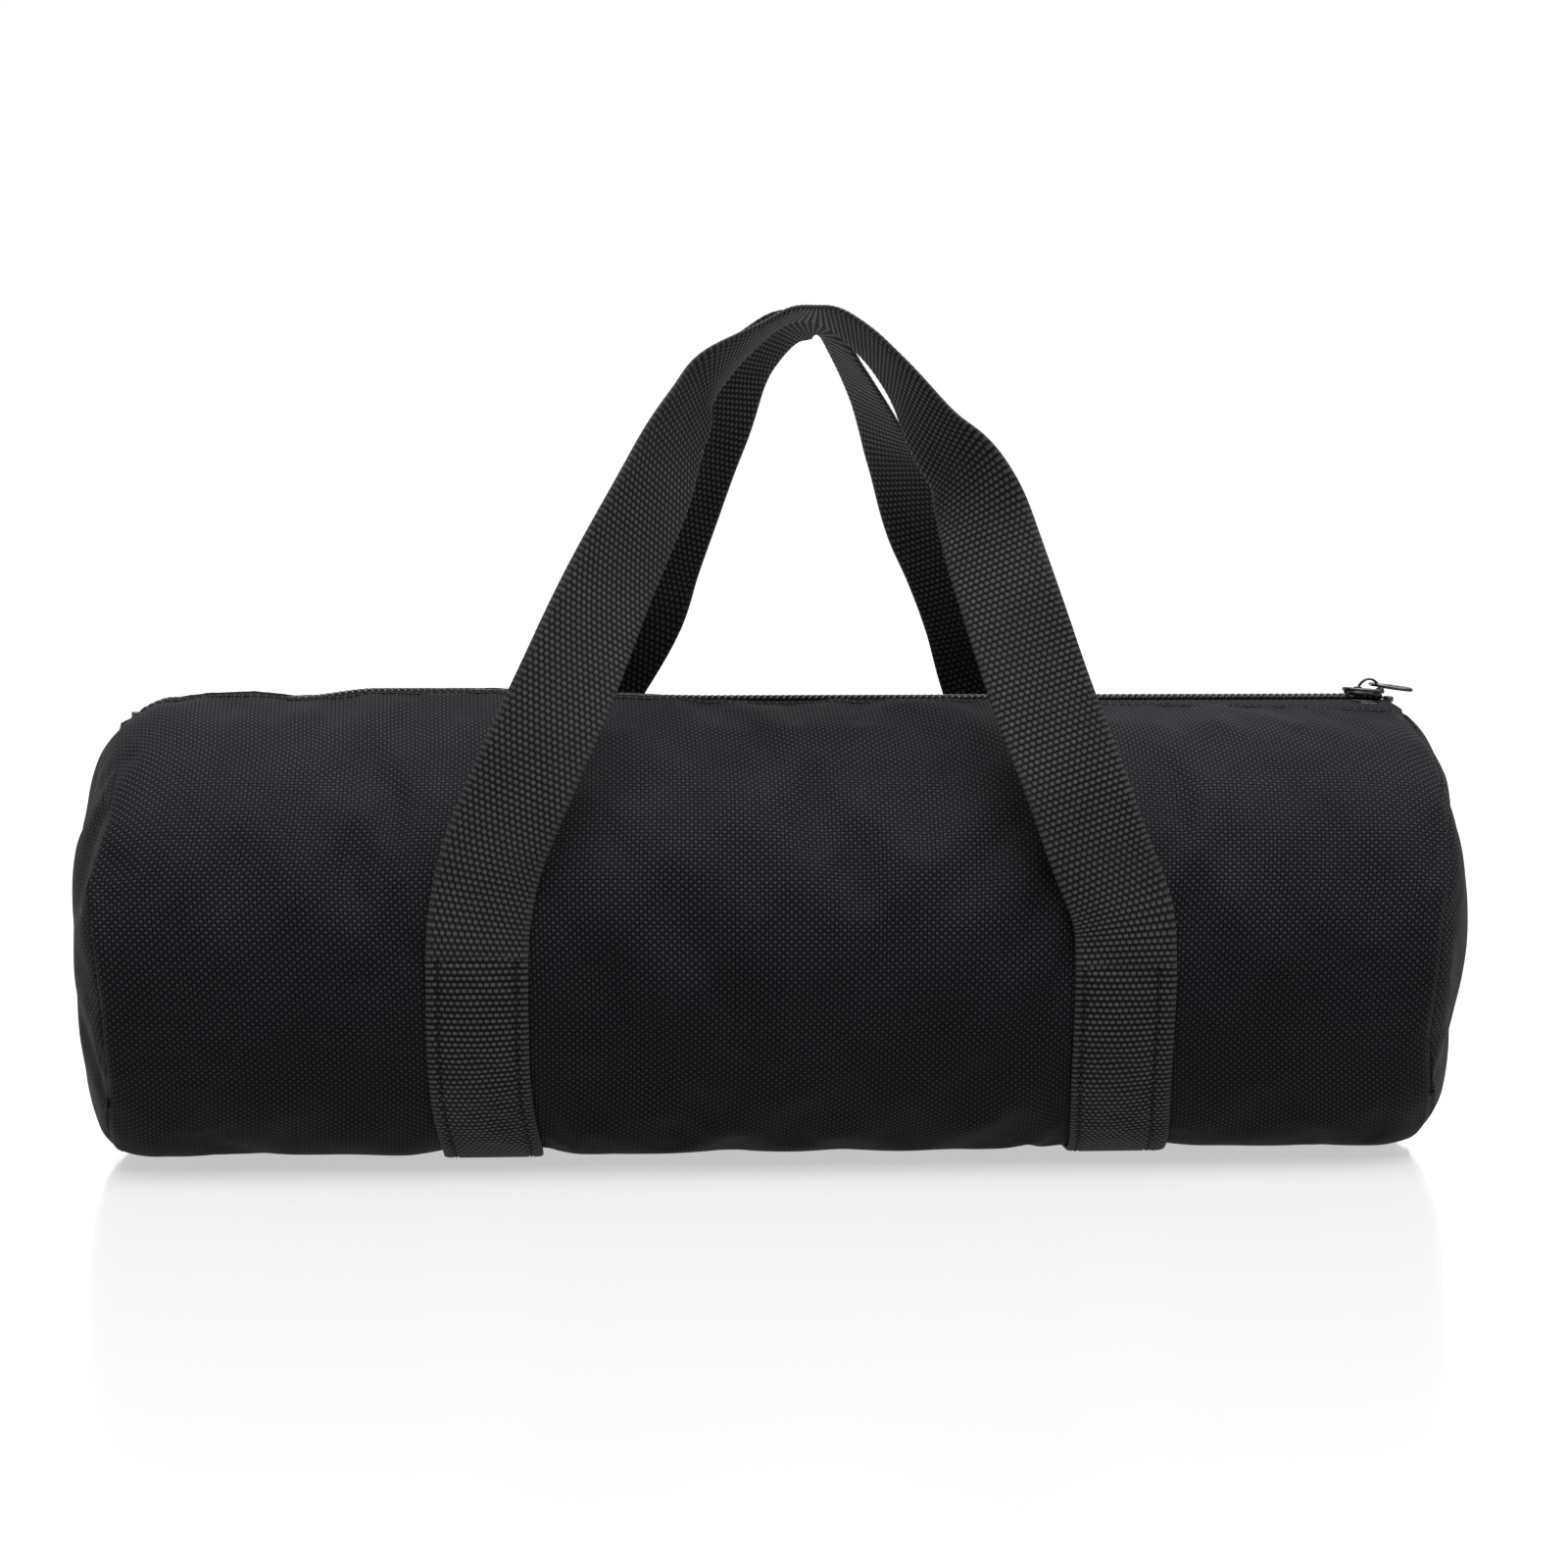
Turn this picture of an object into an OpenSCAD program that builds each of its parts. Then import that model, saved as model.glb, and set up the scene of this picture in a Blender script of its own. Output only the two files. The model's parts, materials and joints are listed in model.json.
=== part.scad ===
// Sandbag for studio stands: a zipped cloth barrel with a sand-filled liner and two webbing carry handles.
// +X runs along the bag towards the closed end of the zip, -Y is the front, +Z is up, and z = 0 is the floor.
// The origin is on the floor, under the middle of the bag.

/* [Bag] */
// Length of the cloth barrel between its two end seams
bag_length = 400; // [396:1:420]
// Outer diameter of the cloth barrel
bag_diameter = 140; // [138:0.5:141]
// How far the weight of the sand flattens the round bottom
bottom_sag = 3; // [2:0.5:6]
// How far each end panel bulges out past its seam
end_bulge = 10; // [7:0.5:14]
// Thickness of the coated Oxford cloth
cloth = 1; // [0.8:0.1:1.2]
// Width of the seam allowance that is turned in at the ends
allowance = 8; // [6:1:10]

/* [Webbing] */
// Width of the webbing
web_width = 30; // [24:1:30]
// Thickness of the webbing
web_thick = 1.8; // [1.4:0.1:1.8]
// Place of the left strap along the bag
strap_left_x = -89; // [-96:1:-86]
// Place of the right strap along the bag
strap_right_x = 100; // [94:1:104]
// Height of the cross row, where the sewn strap ends and the free handle starts
strap_top = 65; // [50:1:65]
// Distance of each thread row from the webbing's edge
row_inset = 3.5; // [2:0.5:5]

/* [Zip] */
// Width of the gap between the cloth's two folded edges
zip_gap = 12; // [11:0.5:14]
// Width of each woven tape
tape_width = 14; // [12:0.5:16]
// Thickness of each woven tape
tape_thick = 0.6; // [0.4:0.1:0.7]
// Width of each nylon coil
coil_width = 2.4; // [2:0.1:2.6]
// Height of each nylon coil
coil_height = 1.6; // [1.2:0.1:1.8]
// Place of the closed slider along the bag
slider_x = 185; // [170:1:186]

/* [Filling] */
// Diameter of the liner
pouch_diameter = 132.8; // [128:0.4:133.2]
// Length of the liner
pouch_length = 376; // [360:1:380]
// Height of the sand's level above the floor
sand_level = 122; // [100:1:124]

/* [Hidden] */
$fn = 96;

bag_r = bag_diameter / 2;
bag_z = web_thick + bag_r - bottom_sag; // height of the barrel's centre line
seam_x = bag_length / 2;
floor_z = web_thick; // the cloth's flat bottom rests on the straps

flange_in = seam_x - 2 * cloth; // inner face of the barrel's turned-in edge
flange_out = seam_x - cloth; // face that the end panel's edge lies against
flange_r = bag_r - cloth - allowance;
binding_thick = 0.8;
binding_leg = 2;

post_gap = 1.2; // between the two tapes, for the slider's post
running = 0.3; // clearance between pieces that move past each other
tape_r = bag_r - cloth; // outer radius of the tapes
coil_r = tape_r + coil_height; // outer radius of the coils
zip_end = flange_in; // the tapes end at the turned-in edges

slider_length = 13;
slider_width = 9;
plate_thick = 1.2;
flange_thick = 1.1;
plate_low = bag_z + coil_r + running; // underside of the slider's top plate
plate_high = plate_low + plate_thick;
base_high = bag_z + tape_r - tape_thick - 0.2 - running; // top of its bottom plate
base_low = base_high - 1;
pivot_x = slider_x + 2.5;
pivot_z = plate_high + 1.4;
bar_r = 0.6;
crown_width = 2;
pull_length = 14;
pull_width = 6.4;
pull_droop = 7; // the pull slopes down to the coil behind the slider

pouch_r = pouch_diameter / 2;
pouch_wall = 0.6;
pouch_z = floor_z + cloth + pouch_r - 2.8; // centre of the liner, pressed flat at its bottom
closure_width = 25;
closure_length = 300;
closure_thick = 0.9;

handle_rings = 3; // rings between two points of a handle
face_gap = 0.4; // between a sewn strap's end and the handle that starts there

// ---- Shared shapes ----

// The barrel's cross-section, a round cut off flat at the bottom, in the XY plane with height along Y
module section(inset) {
    intersection() {
        translate([0, bag_z]) circle(r = bag_r - inset);
        translate([-bag_r * 2, floor_z + inset]) square([bag_r * 4, bag_r * 4]);
    }
}

// Stands a shape drawn in the XY plane up across the bag and extrudes it from x0 to x1
module along_bag(x0, x1) {
    translate([x0, 0, 0]) rotate([90, 0, 90]) linear_extrude(x1 - x0) children();
}

// A ring of the cross-section between two insets, from x0 to x1
module section_ring(inset0, inset1, x0, x1) {
    along_bag(x0, x1) difference() {
        section(inset0);
        section(inset1);
    }
}

// A curved band at the top of a round of centre height z, between two radii and two distances from the middle
module top_band(z, r0, r1, y0, y1, x0, x1) {
    along_bag(x0, x1) intersection() {
        difference() {
            translate([0, z]) circle(r = r1);
            translate([0, z]) circle(r = r0);
        }
        translate([y0, z]) square([y1 - y0, r1 + 1]);
    }
}

module mirrored_in_x(on) {
    if (on) mirror([1, 0, 0]) children();
    else children();
}

module mirrored_in_y(on) {
    if (on) mirror([0, 1, 0]) children();
    else children();
}

// ---- Cloth ----

module body_panel() {
    color("#23252a") difference() {
        union() {
            section_ring(0, cloth, -flange_out, flange_out);
            for (side = [-1, 1])
                section_ring(cloth / 2, cloth + allowance,
                             side > 0 ? flange_in : -flange_out, side > 0 ? flange_out : -flange_in);
        }
        translate([-flange_in, -zip_gap / 2, bag_z + bag_r / 2]) cube([2 * flange_in, zip_gap, bag_r]);
    }
}

// Dome of the right end, of equal thickness, closing on the flat edge that is folded in under it
module end_panel(left) {
    dome_r = (pow(bag_r, 2) + pow(end_bulge, 2)) / (2 * end_bulge);
    dome_x = seam_x + end_bulge - dome_r;
    color("#23252a") mirrored_in_x(left) union() {
        intersection() {
            difference() {
                translate([dome_x, 0, bag_z]) sphere(r = dome_r, $fn = 256);
                translate([dome_x, 0, bag_z]) sphere(r = dome_r - cloth, $fn = 256);
            }
            along_bag(flange_out, seam_x + end_bulge + 1) section(0);
        }
        section_ring(0, cloth + allowance, flange_out, seam_x);
    }
}

// U-shaped tape round the raw edges of one end seam
module seam_binding(left) {
    inner = bag_r - flange_r;
    color("#191a1d") mirrored_in_x(left) {
        section_ring(inner, inner + binding_thick, flange_in - binding_thick, seam_x + binding_thick);
        section_ring(inner - binding_leg, inner, flange_in - binding_thick, flange_in);
        section_ring(inner - binding_leg, inner, seam_x, seam_x + binding_thick);
    }
}

// Thread of one end seam, on the barrel's turned-in edge
module end_seam_thread(left) {
    color("#0e0f11") mirrored_in_x(left)
        section_ring(cloth + 1.4, cloth + 2, flange_in - 0.5, flange_in);
}

// ---- Zip ----

module zip_tape(rear) {
    color("#141518") mirrored_in_y(!rear)
        top_band(bag_z, tape_r - tape_thick, tape_r, post_gap / 2, tape_width, -zip_end, zip_end);
}

module zip_coil(rear) {
    color("#1b1c1f") mirrored_in_y(!rear)
        top_band(bag_z, tape_r, coil_r, post_gap / 2, post_gap / 2 + coil_width,
                 -zip_end + 3, slider_x + slider_length / 2 + 1);
}

module zip_top_stops() {
    stop_x = slider_x + slider_length / 2 + 1;
    color("#5a5c60") for (side = [-1, 1]) mirrored_in_y(side < 0)
        top_band(bag_z, tape_r, coil_r + 0.2, post_gap / 2, post_gap / 2 + 3, stop_x, stop_x + 2.5);
}

module zip_bottom_stop() {
    color("#5a5c60")
        top_band(bag_z, tape_r, coil_r + 0.2, -post_gap / 2 - 3, post_gap / 2 + 3,
                 -zip_end + 0.5, -zip_end + 3);
}

// Outline of the slider's plates, wide at the nose where the coils part and narrow at the tail
module plate_outline(width) {
    nose = slider_x - slider_length / 2;
    polygon([
        [nose, -width * 0.18], [nose + 2.5, -width / 2], [nose + 6, -width / 2],
        [nose + 9, -width * 0.4], [nose + slider_length, -width * 0.4],
        [nose + slider_length, width * 0.4], [nose + 9, width * 0.4],
        [nose + 6, width / 2], [nose + 2.5, width / 2], [nose, width * 0.18]
    ]);
}

// Side view of the crown, the bridge that holds the pull's crossbar
module crown_profile() {
    foot = 1.3;
    half = 4.2;
    difference() {
        intersection() {
            translate([pivot_x - 0.6, pivot_z - 5.5]) circle(r = 7.6);
            translate([pivot_x - 0.6 - half, plate_high - 0.2]) square([2 * half, 6]);
        }
        translate([pivot_x - 0.6 - half + foot, plate_high])
            square([2 * (half - foot), pivot_z + 0.9 - plate_high]);
    }
}

module zip_slider() {
    color("#4a4c50") union() {
        translate([0, 0, plate_low]) linear_extrude(plate_thick) plate_outline(slider_width);
        difference() {
            translate([0, 0, bag_z + tape_r + running])
                linear_extrude(plate_low - bag_z - tape_r - running + 0.1) plate_outline(slider_width);
            translate([slider_x - slider_length, -slider_width * 0.4 + flange_thick / 3, bag_z])
                cube([2 * slider_length, slider_width * 0.8 - flange_thick / 1.5, bag_r + 10]);
        }
        translate([0, 0, base_low]) linear_extrude(base_high - base_low) plate_outline(slider_width);
        translate([slider_x + slider_length / 2 - 4, -0.3, base_low]) cube([3, 0.6, plate_high - base_low]);
        translate([0, crown_width / 2, 0]) rotate([90, 0, 0]) linear_extrude(crown_width) crown_profile();
    }
}

// Flat frame that hangs by its crossbar under the crown
module zip_pull() {
    window = 3.4;
    color("#55575b") translate([pivot_x, 0, pivot_z]) rotate([0, pull_droop, 0]) {
        rotate([90, 0, 0]) cylinder(r = bar_r, h = pull_width - 0.4, center = true, $fn = 48);
        difference() {
            translate([-bar_r, -pull_width / 2, -bar_r]) cube([pull_length + bar_r, pull_width, 2 * bar_r]);
            translate([-1, -window / 2, -1]) cube([pull_length * 0.62 + 1, window, 2]);
            for (side = [-1, 1]) translate([pull_length, side * pull_width / 2, 0])
                rotate([0, 0, 45]) cube([2.4, 2.4, 3], center = true);
        }
    }
}

// The two thread rows that hold the folded cloth edges on the tapes
module zip_stitching() {
    row = zip_gap / 2 + 2.5;
    color("#0e0f11") for (side = [-1, 1]) mirrored_in_y(side < 0)
        top_band(bag_z, bag_r, bag_r + 0.3, row - 0.3, row + 0.3, -seam_x + 5, seam_x - 5);
}

// ---- Sewn straps ----

// Keeps what lies below the cross rows
module below_strap_top(drop) {
    intersection() {
        children();
        translate([-seam_x, -bag_r * 2, -1]) cube([2 * seam_x, bag_r * 4, strap_top - drop + 1]);
    }
}

// Both lengthwise rows and both cross rows of one strap, between two depths in the webbing
module thread_rows(x, deep, shallow, width) {
    for (side = [-1, 1]) {
        row = x + side * (web_width / 2 - row_inset);
        below_strap_top(1.6) section_ring(-shallow, -deep, row - width / 2, row + width / 2);
    }
    intersection() {
        section_ring(-shallow, -deep, x - web_width / 2 + row_inset, x + web_width / 2 - row_inset);
        translate([x - web_width, -bag_r * 2, strap_top - 1.6 - width])
            cube([2 * web_width, bag_r * 4, width]);
    }
}

module strap(x) {
    color("#17181a") difference() {
        below_strap_top(0) section_ring(-web_thick, 0, x - web_width / 2, x + web_width / 2);
        thread_rows(x, web_thick - 0.6, web_thick + 0.2, 1.2);
    }
}

module strap_stitching(x) {
    color("#0b0c0d") thread_rows(x, web_thick - 0.6, web_thick - 0.1, 0.8);
}

// ---- Handles ----

// Each point of a handle is [x, y, z, twist]: where its middle line runs, and how far the webbing turns
// from facing front (0) to lying flat with its inner edge at the back (90).
base_y = bag_r + web_thick / 2 + 0.6;
base_z = strap_top + face_gap;

front_route = [
    [strap_left_x, -base_y, base_z, 0], [strap_left_x + 0.6, -base_y - 0.4, 77, 0],
    [-85, -73, 97, 0], [-74.5, -74, 122, 2], [-64, -71, 145, 12], [-51.5, -62, 173, 26],
    [-38, -51, 200, 38], [-31, -43.5, 215, 48], [-25, -37, 226.5, 58], [-21, -33, 234, 63],
    [-12.5, -26.5, 242, 75], [-4.5, -22, 248.5, 82], [5, -19, 255, 85], [13, -18.5, 255.5, 85],
    [18.5, -19.5, 253.5, 82.5], [23.5, -21.5, 250, 80.5], [29.5, -24.5, 244.5, 79.5],
    [35, -28, 237.5, 77.5], [39.5, -31.5, 230.5, 72.5], [44.5, -35.5, 221.5, 63.5],
    [48.5, -38.5, 215.5, 56], [52.5, -41, 211, 49], [55.5, -43.5, 206, 41],
    [59.5, -47.5, 196.5, 30], [62.5, -52, 185.5, 22], [67, -58.5, 170, 16], [76, -67, 141, 6],
    [84, -72, 119, 0], [92, -73, 96.5, 0],
    [strap_right_x - 1.6, -base_y - 0.4, 77, 0], [strap_right_x, -base_y, base_z, 0]
];
rear_route = [
    [strap_left_x, base_y, base_z, 0], [strap_left_x + 3, base_y + 0.4, 79, 0],
    [-78.5, 73, 94, 0], [-68.5, 74, 111, 0], [-58, 70, 130, 2], [-39.5, 57, 161, 10],
    [-33, 50.5, 179.5, 18], [-27, 45.5, 195, 25], [-20, 40, 212, 34], [-13.5, 35, 225.5, 43],
    [-8, 30, 239, 51], [-2.5, 26, 246.5, 59], [5.5, 22, 253, 68], [10.5, 20, 254, 75],
    [16, 19, 254, 79], [20, 19.3, 252, 82.5], [23.5, 21.5, 246.5, 84], [29, 26, 238, 81.5],
    [34, 30.5, 229.5, 77], [38, 34.5, 221.5, 71.5], [41.5, 38, 214.5, 65.5],
    [45, 40.5, 208.5, 57], [53, 47, 191.5, 40], [60.5, 51.5, 178.5, 31], [68.5, 57, 161, 20],
    [75, 67, 142, 5], [83, 72, 121, 0], [91, 73, 98, 0],
    [strap_right_x - 1.6, base_y + 0.4, 79, 0], [strap_right_x, base_y, base_z, 0]
];

// Point at distance t of the way from b to c, on the smooth curve that also looks at a and d
function blend_point(a, b, c, d, t) =
    b + 0.5 * t * (c - a + t * (2 * a - 5 * b + 4 * c - d + t * (3 * (b - c) + d - a)));

function smooth_route(route) = [
    for (i = [0 : len(route) - 2], step = [0 : handle_rings - 1])
        blend_point(route[max(i - 1, 0)], route[i], route[i + 1],
                    route[min(i + 2, len(route) - 1)], step / handle_rings),
    route[len(route) - 1]
];

function place(p) = [p[0], p[1], p[2]];
function unit(v) = v / norm(v);

// Direction of the webbing at ring i, upright at both ends
function heading(path, i) =
    i == 0 ? [0, 0, 1] : i == len(path) - 1 ? [0, 0, -1] : unit(place(path[i + 1]) - place(path[i - 1]));

// Corners of the webbing's cross-section at ring i
function ring(path, i) =
    let (
        along = heading(path, i),
        depth = unit([0, 1, 0] - along[1] * along),
        inward = cross(depth, along),
        turn = path[i][3],
        across = (cos(turn) * inward + sin(turn) * depth) * web_width / 2,
        face = cross(along, unit(across)) * web_thick / 2,
        middle = place(path[i])
    )
    [middle - across - face, middle + across - face, middle + across + face, middle - across + face];

module webbing(route) {
    path = smooth_route(route);
    count = len(path);
    points = [for (i = [0 : count - 1]) each ring(path, i)];
    sides = [
        for (i = [0 : count - 2], k = [0 : 3])
            let (a = 4 * i + k, b = 4 * i + (k + 1) % 4)
                each [[a, a + 4, b + 4], [a, b + 4, b]]
    ];
    last = 4 * (count - 1);
    polyhedron(points, concat(
        [[0, 1, 2], [0, 2, 3]], sides,
        [[last, last + 2, last + 1], [last, last + 3, last + 2]]
    ));
}

module handle_front() {
    color("#17181a") webbing(front_route);
}

module handle_rear() {
    color("#17181a") webbing(rear_route);
}

// ---- Filling ----

module pouch_section(inset) {
    intersection() {
        translate([0, pouch_z]) circle(r = pouch_r - inset);
        translate([-bag_r * 2, floor_z + cloth + inset]) square([bag_r * 4, bag_r * 4]);
    }
}

// Closed liner with a slit mouth along its top, under the closure strips
module inner_pouch() {
    half = pouch_length / 2;
    color("#3a3d3a") difference() {
        along_bag(-half, half) pouch_section(0);
        along_bag(-half + pouch_wall, half - pouch_wall) pouch_section(pouch_wall);
        translate([-closure_length / 2, -1, pouch_z]) cube([closure_length, 2, pouch_r + 1]);
    }
}

module sand_fill() {
    half = pouch_length / 2 - pouch_wall;
    color("#b89b6c") intersection() {
        along_bag(-half, half) pouch_section(pouch_wall);
        translate([-half, -bag_r, 0]) cube([2 * half, bag_diameter, sand_level]);
    }
}

module closure_strip(layer) {
    low = pouch_r + layer * closure_thick;
    top_band(pouch_z, low, low + closure_thick, -closure_width / 2, closure_width / 2,
             -closure_length / 2, closure_length / 2);
}

module pouch_loop_strip() {
    color("#202124") closure_strip(0);
}

module pouch_hook_strip() {
    color("#2b2c2f") closure_strip(1);
}

body_panel();
end_panel(true);  // end_panel_left
end_panel(false);  // end_panel_right
seam_binding(true);  // seam_binding_left
seam_binding(false);  // seam_binding_right
end_seam_thread(true);  // end_seam_thread_left
end_seam_thread(false);  // end_seam_thread_right
zip_tape(false);  // zip_tape_front
zip_tape(true);  // zip_tape_rear
zip_coil(false);  // zip_coil_front
zip_coil(true);  // zip_coil_rear
zip_top_stops();
zip_bottom_stop();
zip_slider();
zip_pull();
zip_stitching();
strap(strap_left_x);  // strap_left
strap(strap_right_x);  // strap_right
strap_stitching(strap_left_x);  // strap_stitching_left
strap_stitching(strap_right_x);  // strap_stitching_right
handle_front();
handle_rear();
inner_pouch();
sand_fill();
pouch_loop_strip();
pouch_hook_strip();
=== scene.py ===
"""Looks of a zipped, sand-filled barrel bag with two webbing carry handles, built round its CAD frame.

Units are metres. +X runs along the bag, -Y is the front, +Z is up, and z = 0 is the floor.
"""
import json
import math

import bmesh
import bpy
import numpy as np
from mathutils import Matrix, Vector
from mathutils.bvhtree import BVHTree


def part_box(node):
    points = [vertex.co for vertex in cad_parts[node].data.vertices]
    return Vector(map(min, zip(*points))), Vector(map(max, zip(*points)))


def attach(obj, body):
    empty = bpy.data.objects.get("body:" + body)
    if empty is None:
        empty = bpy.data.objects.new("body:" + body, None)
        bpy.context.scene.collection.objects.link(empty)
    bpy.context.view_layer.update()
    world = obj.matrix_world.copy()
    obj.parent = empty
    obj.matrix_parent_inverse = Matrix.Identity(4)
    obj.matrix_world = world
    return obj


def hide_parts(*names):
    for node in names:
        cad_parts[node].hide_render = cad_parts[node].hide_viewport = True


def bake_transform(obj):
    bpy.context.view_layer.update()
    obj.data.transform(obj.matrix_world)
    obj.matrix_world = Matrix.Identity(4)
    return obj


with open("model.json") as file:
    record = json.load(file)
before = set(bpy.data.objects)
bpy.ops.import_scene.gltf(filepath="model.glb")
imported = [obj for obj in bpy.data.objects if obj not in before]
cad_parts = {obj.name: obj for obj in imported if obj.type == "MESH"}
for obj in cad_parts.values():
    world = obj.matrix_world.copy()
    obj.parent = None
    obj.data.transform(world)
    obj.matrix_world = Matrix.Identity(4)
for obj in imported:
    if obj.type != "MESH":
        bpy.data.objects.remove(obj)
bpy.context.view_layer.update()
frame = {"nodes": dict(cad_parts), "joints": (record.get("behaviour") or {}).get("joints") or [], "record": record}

MM = 0.001


# -------- Sizes, from the CAD frame --------

def box_middle_x(node):
    low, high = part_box(node)
    return (low[0] + high[0]) / 2


def tidy_mm(value, step=0.1):
    """A length in metres, rounded to a step in millimetres, because a CAD box comes from facets."""
    return round(value / (step * MM)) * step * MM


panel_low, panel_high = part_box("body_panel")
dome_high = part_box("end_panel_right")[1]
strap_low, strap_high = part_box("strap_left")
slider_low, slider_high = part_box("zip_slider")

BAG_R = tidy_mm((panel_high[1] - panel_low[1]) / 2, 1)
AXIS_Z = tidy_mm(dome_high[2] - BAG_R, 0.2)
END_X = tidy_mm(dome_high[0], 1)
CLOTH = 1.0 * MM
WEB_THICK = 1.8 * MM
WEB_WIDTH = tidy_mm(strap_high[0] - strap_low[0], 1)
STRAP_X = {side: tidy_mm(box_middle_x("strap_" + side), 1) for side in ("left", "right")}
COIL_TOP = tidy_mm(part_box("zip_coil_rear")[1][2])
SLIDER_X = tidy_mm(box_middle_x("zip_slider"), 0.5)
PULL_PIVOT = np.array(next(joint["pos_m"] for joint in frame["joints"] if joint["name"] == "pull_flip"))


# -------- Mesh helpers --------

def add_object(name, data):
    obj = bpy.data.objects.new(name, data)
    bpy.context.scene.collection.objects.link(obj)
    return obj


def new_object(name, verts, faces, uvs=None):
    """An object from arrays. uvs holds one pair for each corner of each face, in the faces' order."""
    mesh = bpy.data.meshes.new(name)
    mesh.from_pydata(np.asarray(verts).tolist(), [], [list(f) for f in faces])
    if uvs is not None:
        layer = mesh.uv_layers.new(name="UVMap")
        layer.data.foreach_set("uv", np.asarray(uvs, np.float32).ravel())
    mesh.polygons.foreach_set("use_smooth", [True] * len(mesh.polygons))
    mesh.update()
    return add_object(name, mesh)


def grid_quads(rows, cols, close_cols=False):
    """Corner indices of a grid's quads, and the grid places of those corners for their UVs.

    A grid that closes on itself has one more column of UVs than of points."""
    r, c = np.meshgrid(np.arange(rows - 1), np.arange(cols if close_cols else cols - 1), indexing="ij")
    r, c = r.ravel(), c.ravel()
    nxt = (c + 1) % cols if close_cols else c + 1
    faces = np.stack([r * cols + c, r * cols + nxt, (r + 1) * cols + nxt, (r + 1) * cols + c], 1)
    places = np.stack([np.stack([r, c], 1), np.stack([r, c + 1], 1), np.stack([r + 1, c + 1], 1),
                       np.stack([r + 1, c], 1)], 1)
    return faces, places


def grid_object(name, points, uv, close_cols=False, caps=False):
    """An object from a grid of points (rows, cols, 3) and its UVs (rows, cols or cols + 1, 2)."""
    rows, cols = points.shape[:2]
    faces, places = grid_quads(rows, cols, close_cols)
    corner_uv = uv[places[..., 0], places[..., 1]].reshape(-1, 2)
    faces = faces.tolist()
    if caps:
        for row, order in ((0, 1), (rows - 1, -1)):
            faces.append(list(range(row * cols, (row + 1) * cols))[::-order])
            corner_uv = np.concatenate([corner_uv, uv[row, :cols][::-order]])
    return new_object(name, points.reshape(-1, 3), faces, corner_uv)


def closed_strip(name, top, under, uv):
    """A strip closed at its edges and ends, from the grids of its top face and its under face."""
    return grid_object(name, np.concatenate([top, under[:, ::-1]], 1), uv, close_cols=True, caps=True)


def mesh_points(obj):
    points = np.empty(len(obj.data.vertices) * 3, np.float32)
    obj.data.vertices.foreach_get("co", points)
    return points.reshape(-1, 3)


def set_points(obj, points):
    obj.data.vertices.foreach_set("co", points.astype(np.float32).ravel())
    obj.data.update()


def weld(obj, distance=0.001 * MM):
    """Merges the points where a grid closes on itself."""
    mesh = bmesh.new()
    mesh.from_mesh(obj.data)
    bmesh.ops.remove_doubles(mesh, verts=mesh.verts, dist=distance)
    bmesh.ops.recalc_face_normals(mesh, faces=mesh.faces)
    mesh.to_mesh(obj.data)
    mesh.free()


def even_angles(count):
    return np.arange(count) * 2 * math.pi / count


def bent(value, power):
    """A power that keeps the sign, which squares up a sine or cosine."""
    return np.sign(value) * np.abs(value) ** power


def bell(offset, width):
    """1 at no offset, falling to nothing a few widths away."""
    return np.exp(-(offset / width) ** 2)


def normalised(v):
    return v / np.maximum(np.linalg.norm(v, axis=-1, keepdims=True), 1e-12)


def smooth_step(x, low, high):
    t = np.clip((x - low) / (high - low), 0, 1)
    return t * t * (3 - 2 * t)


def waves(x, y, seed, count=6, low=1.0, high=4.0):
    """A smooth random field between about -1 and 1, from a few sine waves of x and y."""
    draw = np.random.default_rng(seed)
    total = 0
    for _ in range(count):
        a, b = draw.uniform(low, high, 2) * draw.choice([-1, 1], 2)
        total = total + np.sin(a * x + b * y + draw.uniform(0, 2 * math.pi))
    return total / math.sqrt(count * 0.5) / 2


def spline(points, per_span):
    """A smooth curve through rows of numbers (Catmull-Rom), with per_span steps between two rows."""
    p = np.asarray(points, float)
    p = np.concatenate([[2 * p[0] - p[1]], p, [2 * p[-1] - p[-2]]])
    t = np.arange(per_span)[:, None] / per_span
    out = []
    for i in range(1, len(p) - 2):
        a, b, c, d = p[i - 1], p[i], p[i + 1], p[i + 2]
        out.append(b + 0.5 * t * (c - a + t * (2 * a - 5 * b + 4 * c - d + t * (3 * (b - c) + d - a))))
    return np.concatenate(out + [p[-2][None]])


def resample(rows, step):
    """The same curve at even steps along it. The first three numbers of a row are its place."""
    length = np.concatenate([[0], np.cumsum(np.linalg.norm(np.diff(rows[:, :3], axis=0), axis=1))])
    count = max(2, round(length[-1] / step)) + 1
    even = np.linspace(0, length[-1], count)
    return np.stack([np.interp(even, length, rows[:, k]) for k in range(rows.shape[1])], 1), even


def tube(path, radius, sides):
    """Rings of a round tube along a path (n, 3); radius is one number or one for each point."""
    path = np.asarray(path, float)
    along = normalised(np.gradient(path, axis=0))
    normal = np.zeros_like(path)
    start = np.cross(along[0], [0.0, 0.0, 1.0] if abs(along[0][2]) < 0.9 else [1.0, 0.0, 0.0])
    normal[0] = normalised(start)
    for i in range(1, len(path)):
        carried = normal[i - 1] - along[i] * np.dot(normal[i - 1], along[i])
        normal[i] = normalised(carried)
    side = np.cross(along, normal)
    angle = even_angles(sides)
    ring = np.cos(angle)[None, :, None] * normal[:, None] + np.sin(angle)[None, :, None] * side[:, None]
    return path[:, None] + ring * np.broadcast_to(np.asarray(radius, float), (len(path),))[:, None, None]


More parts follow.
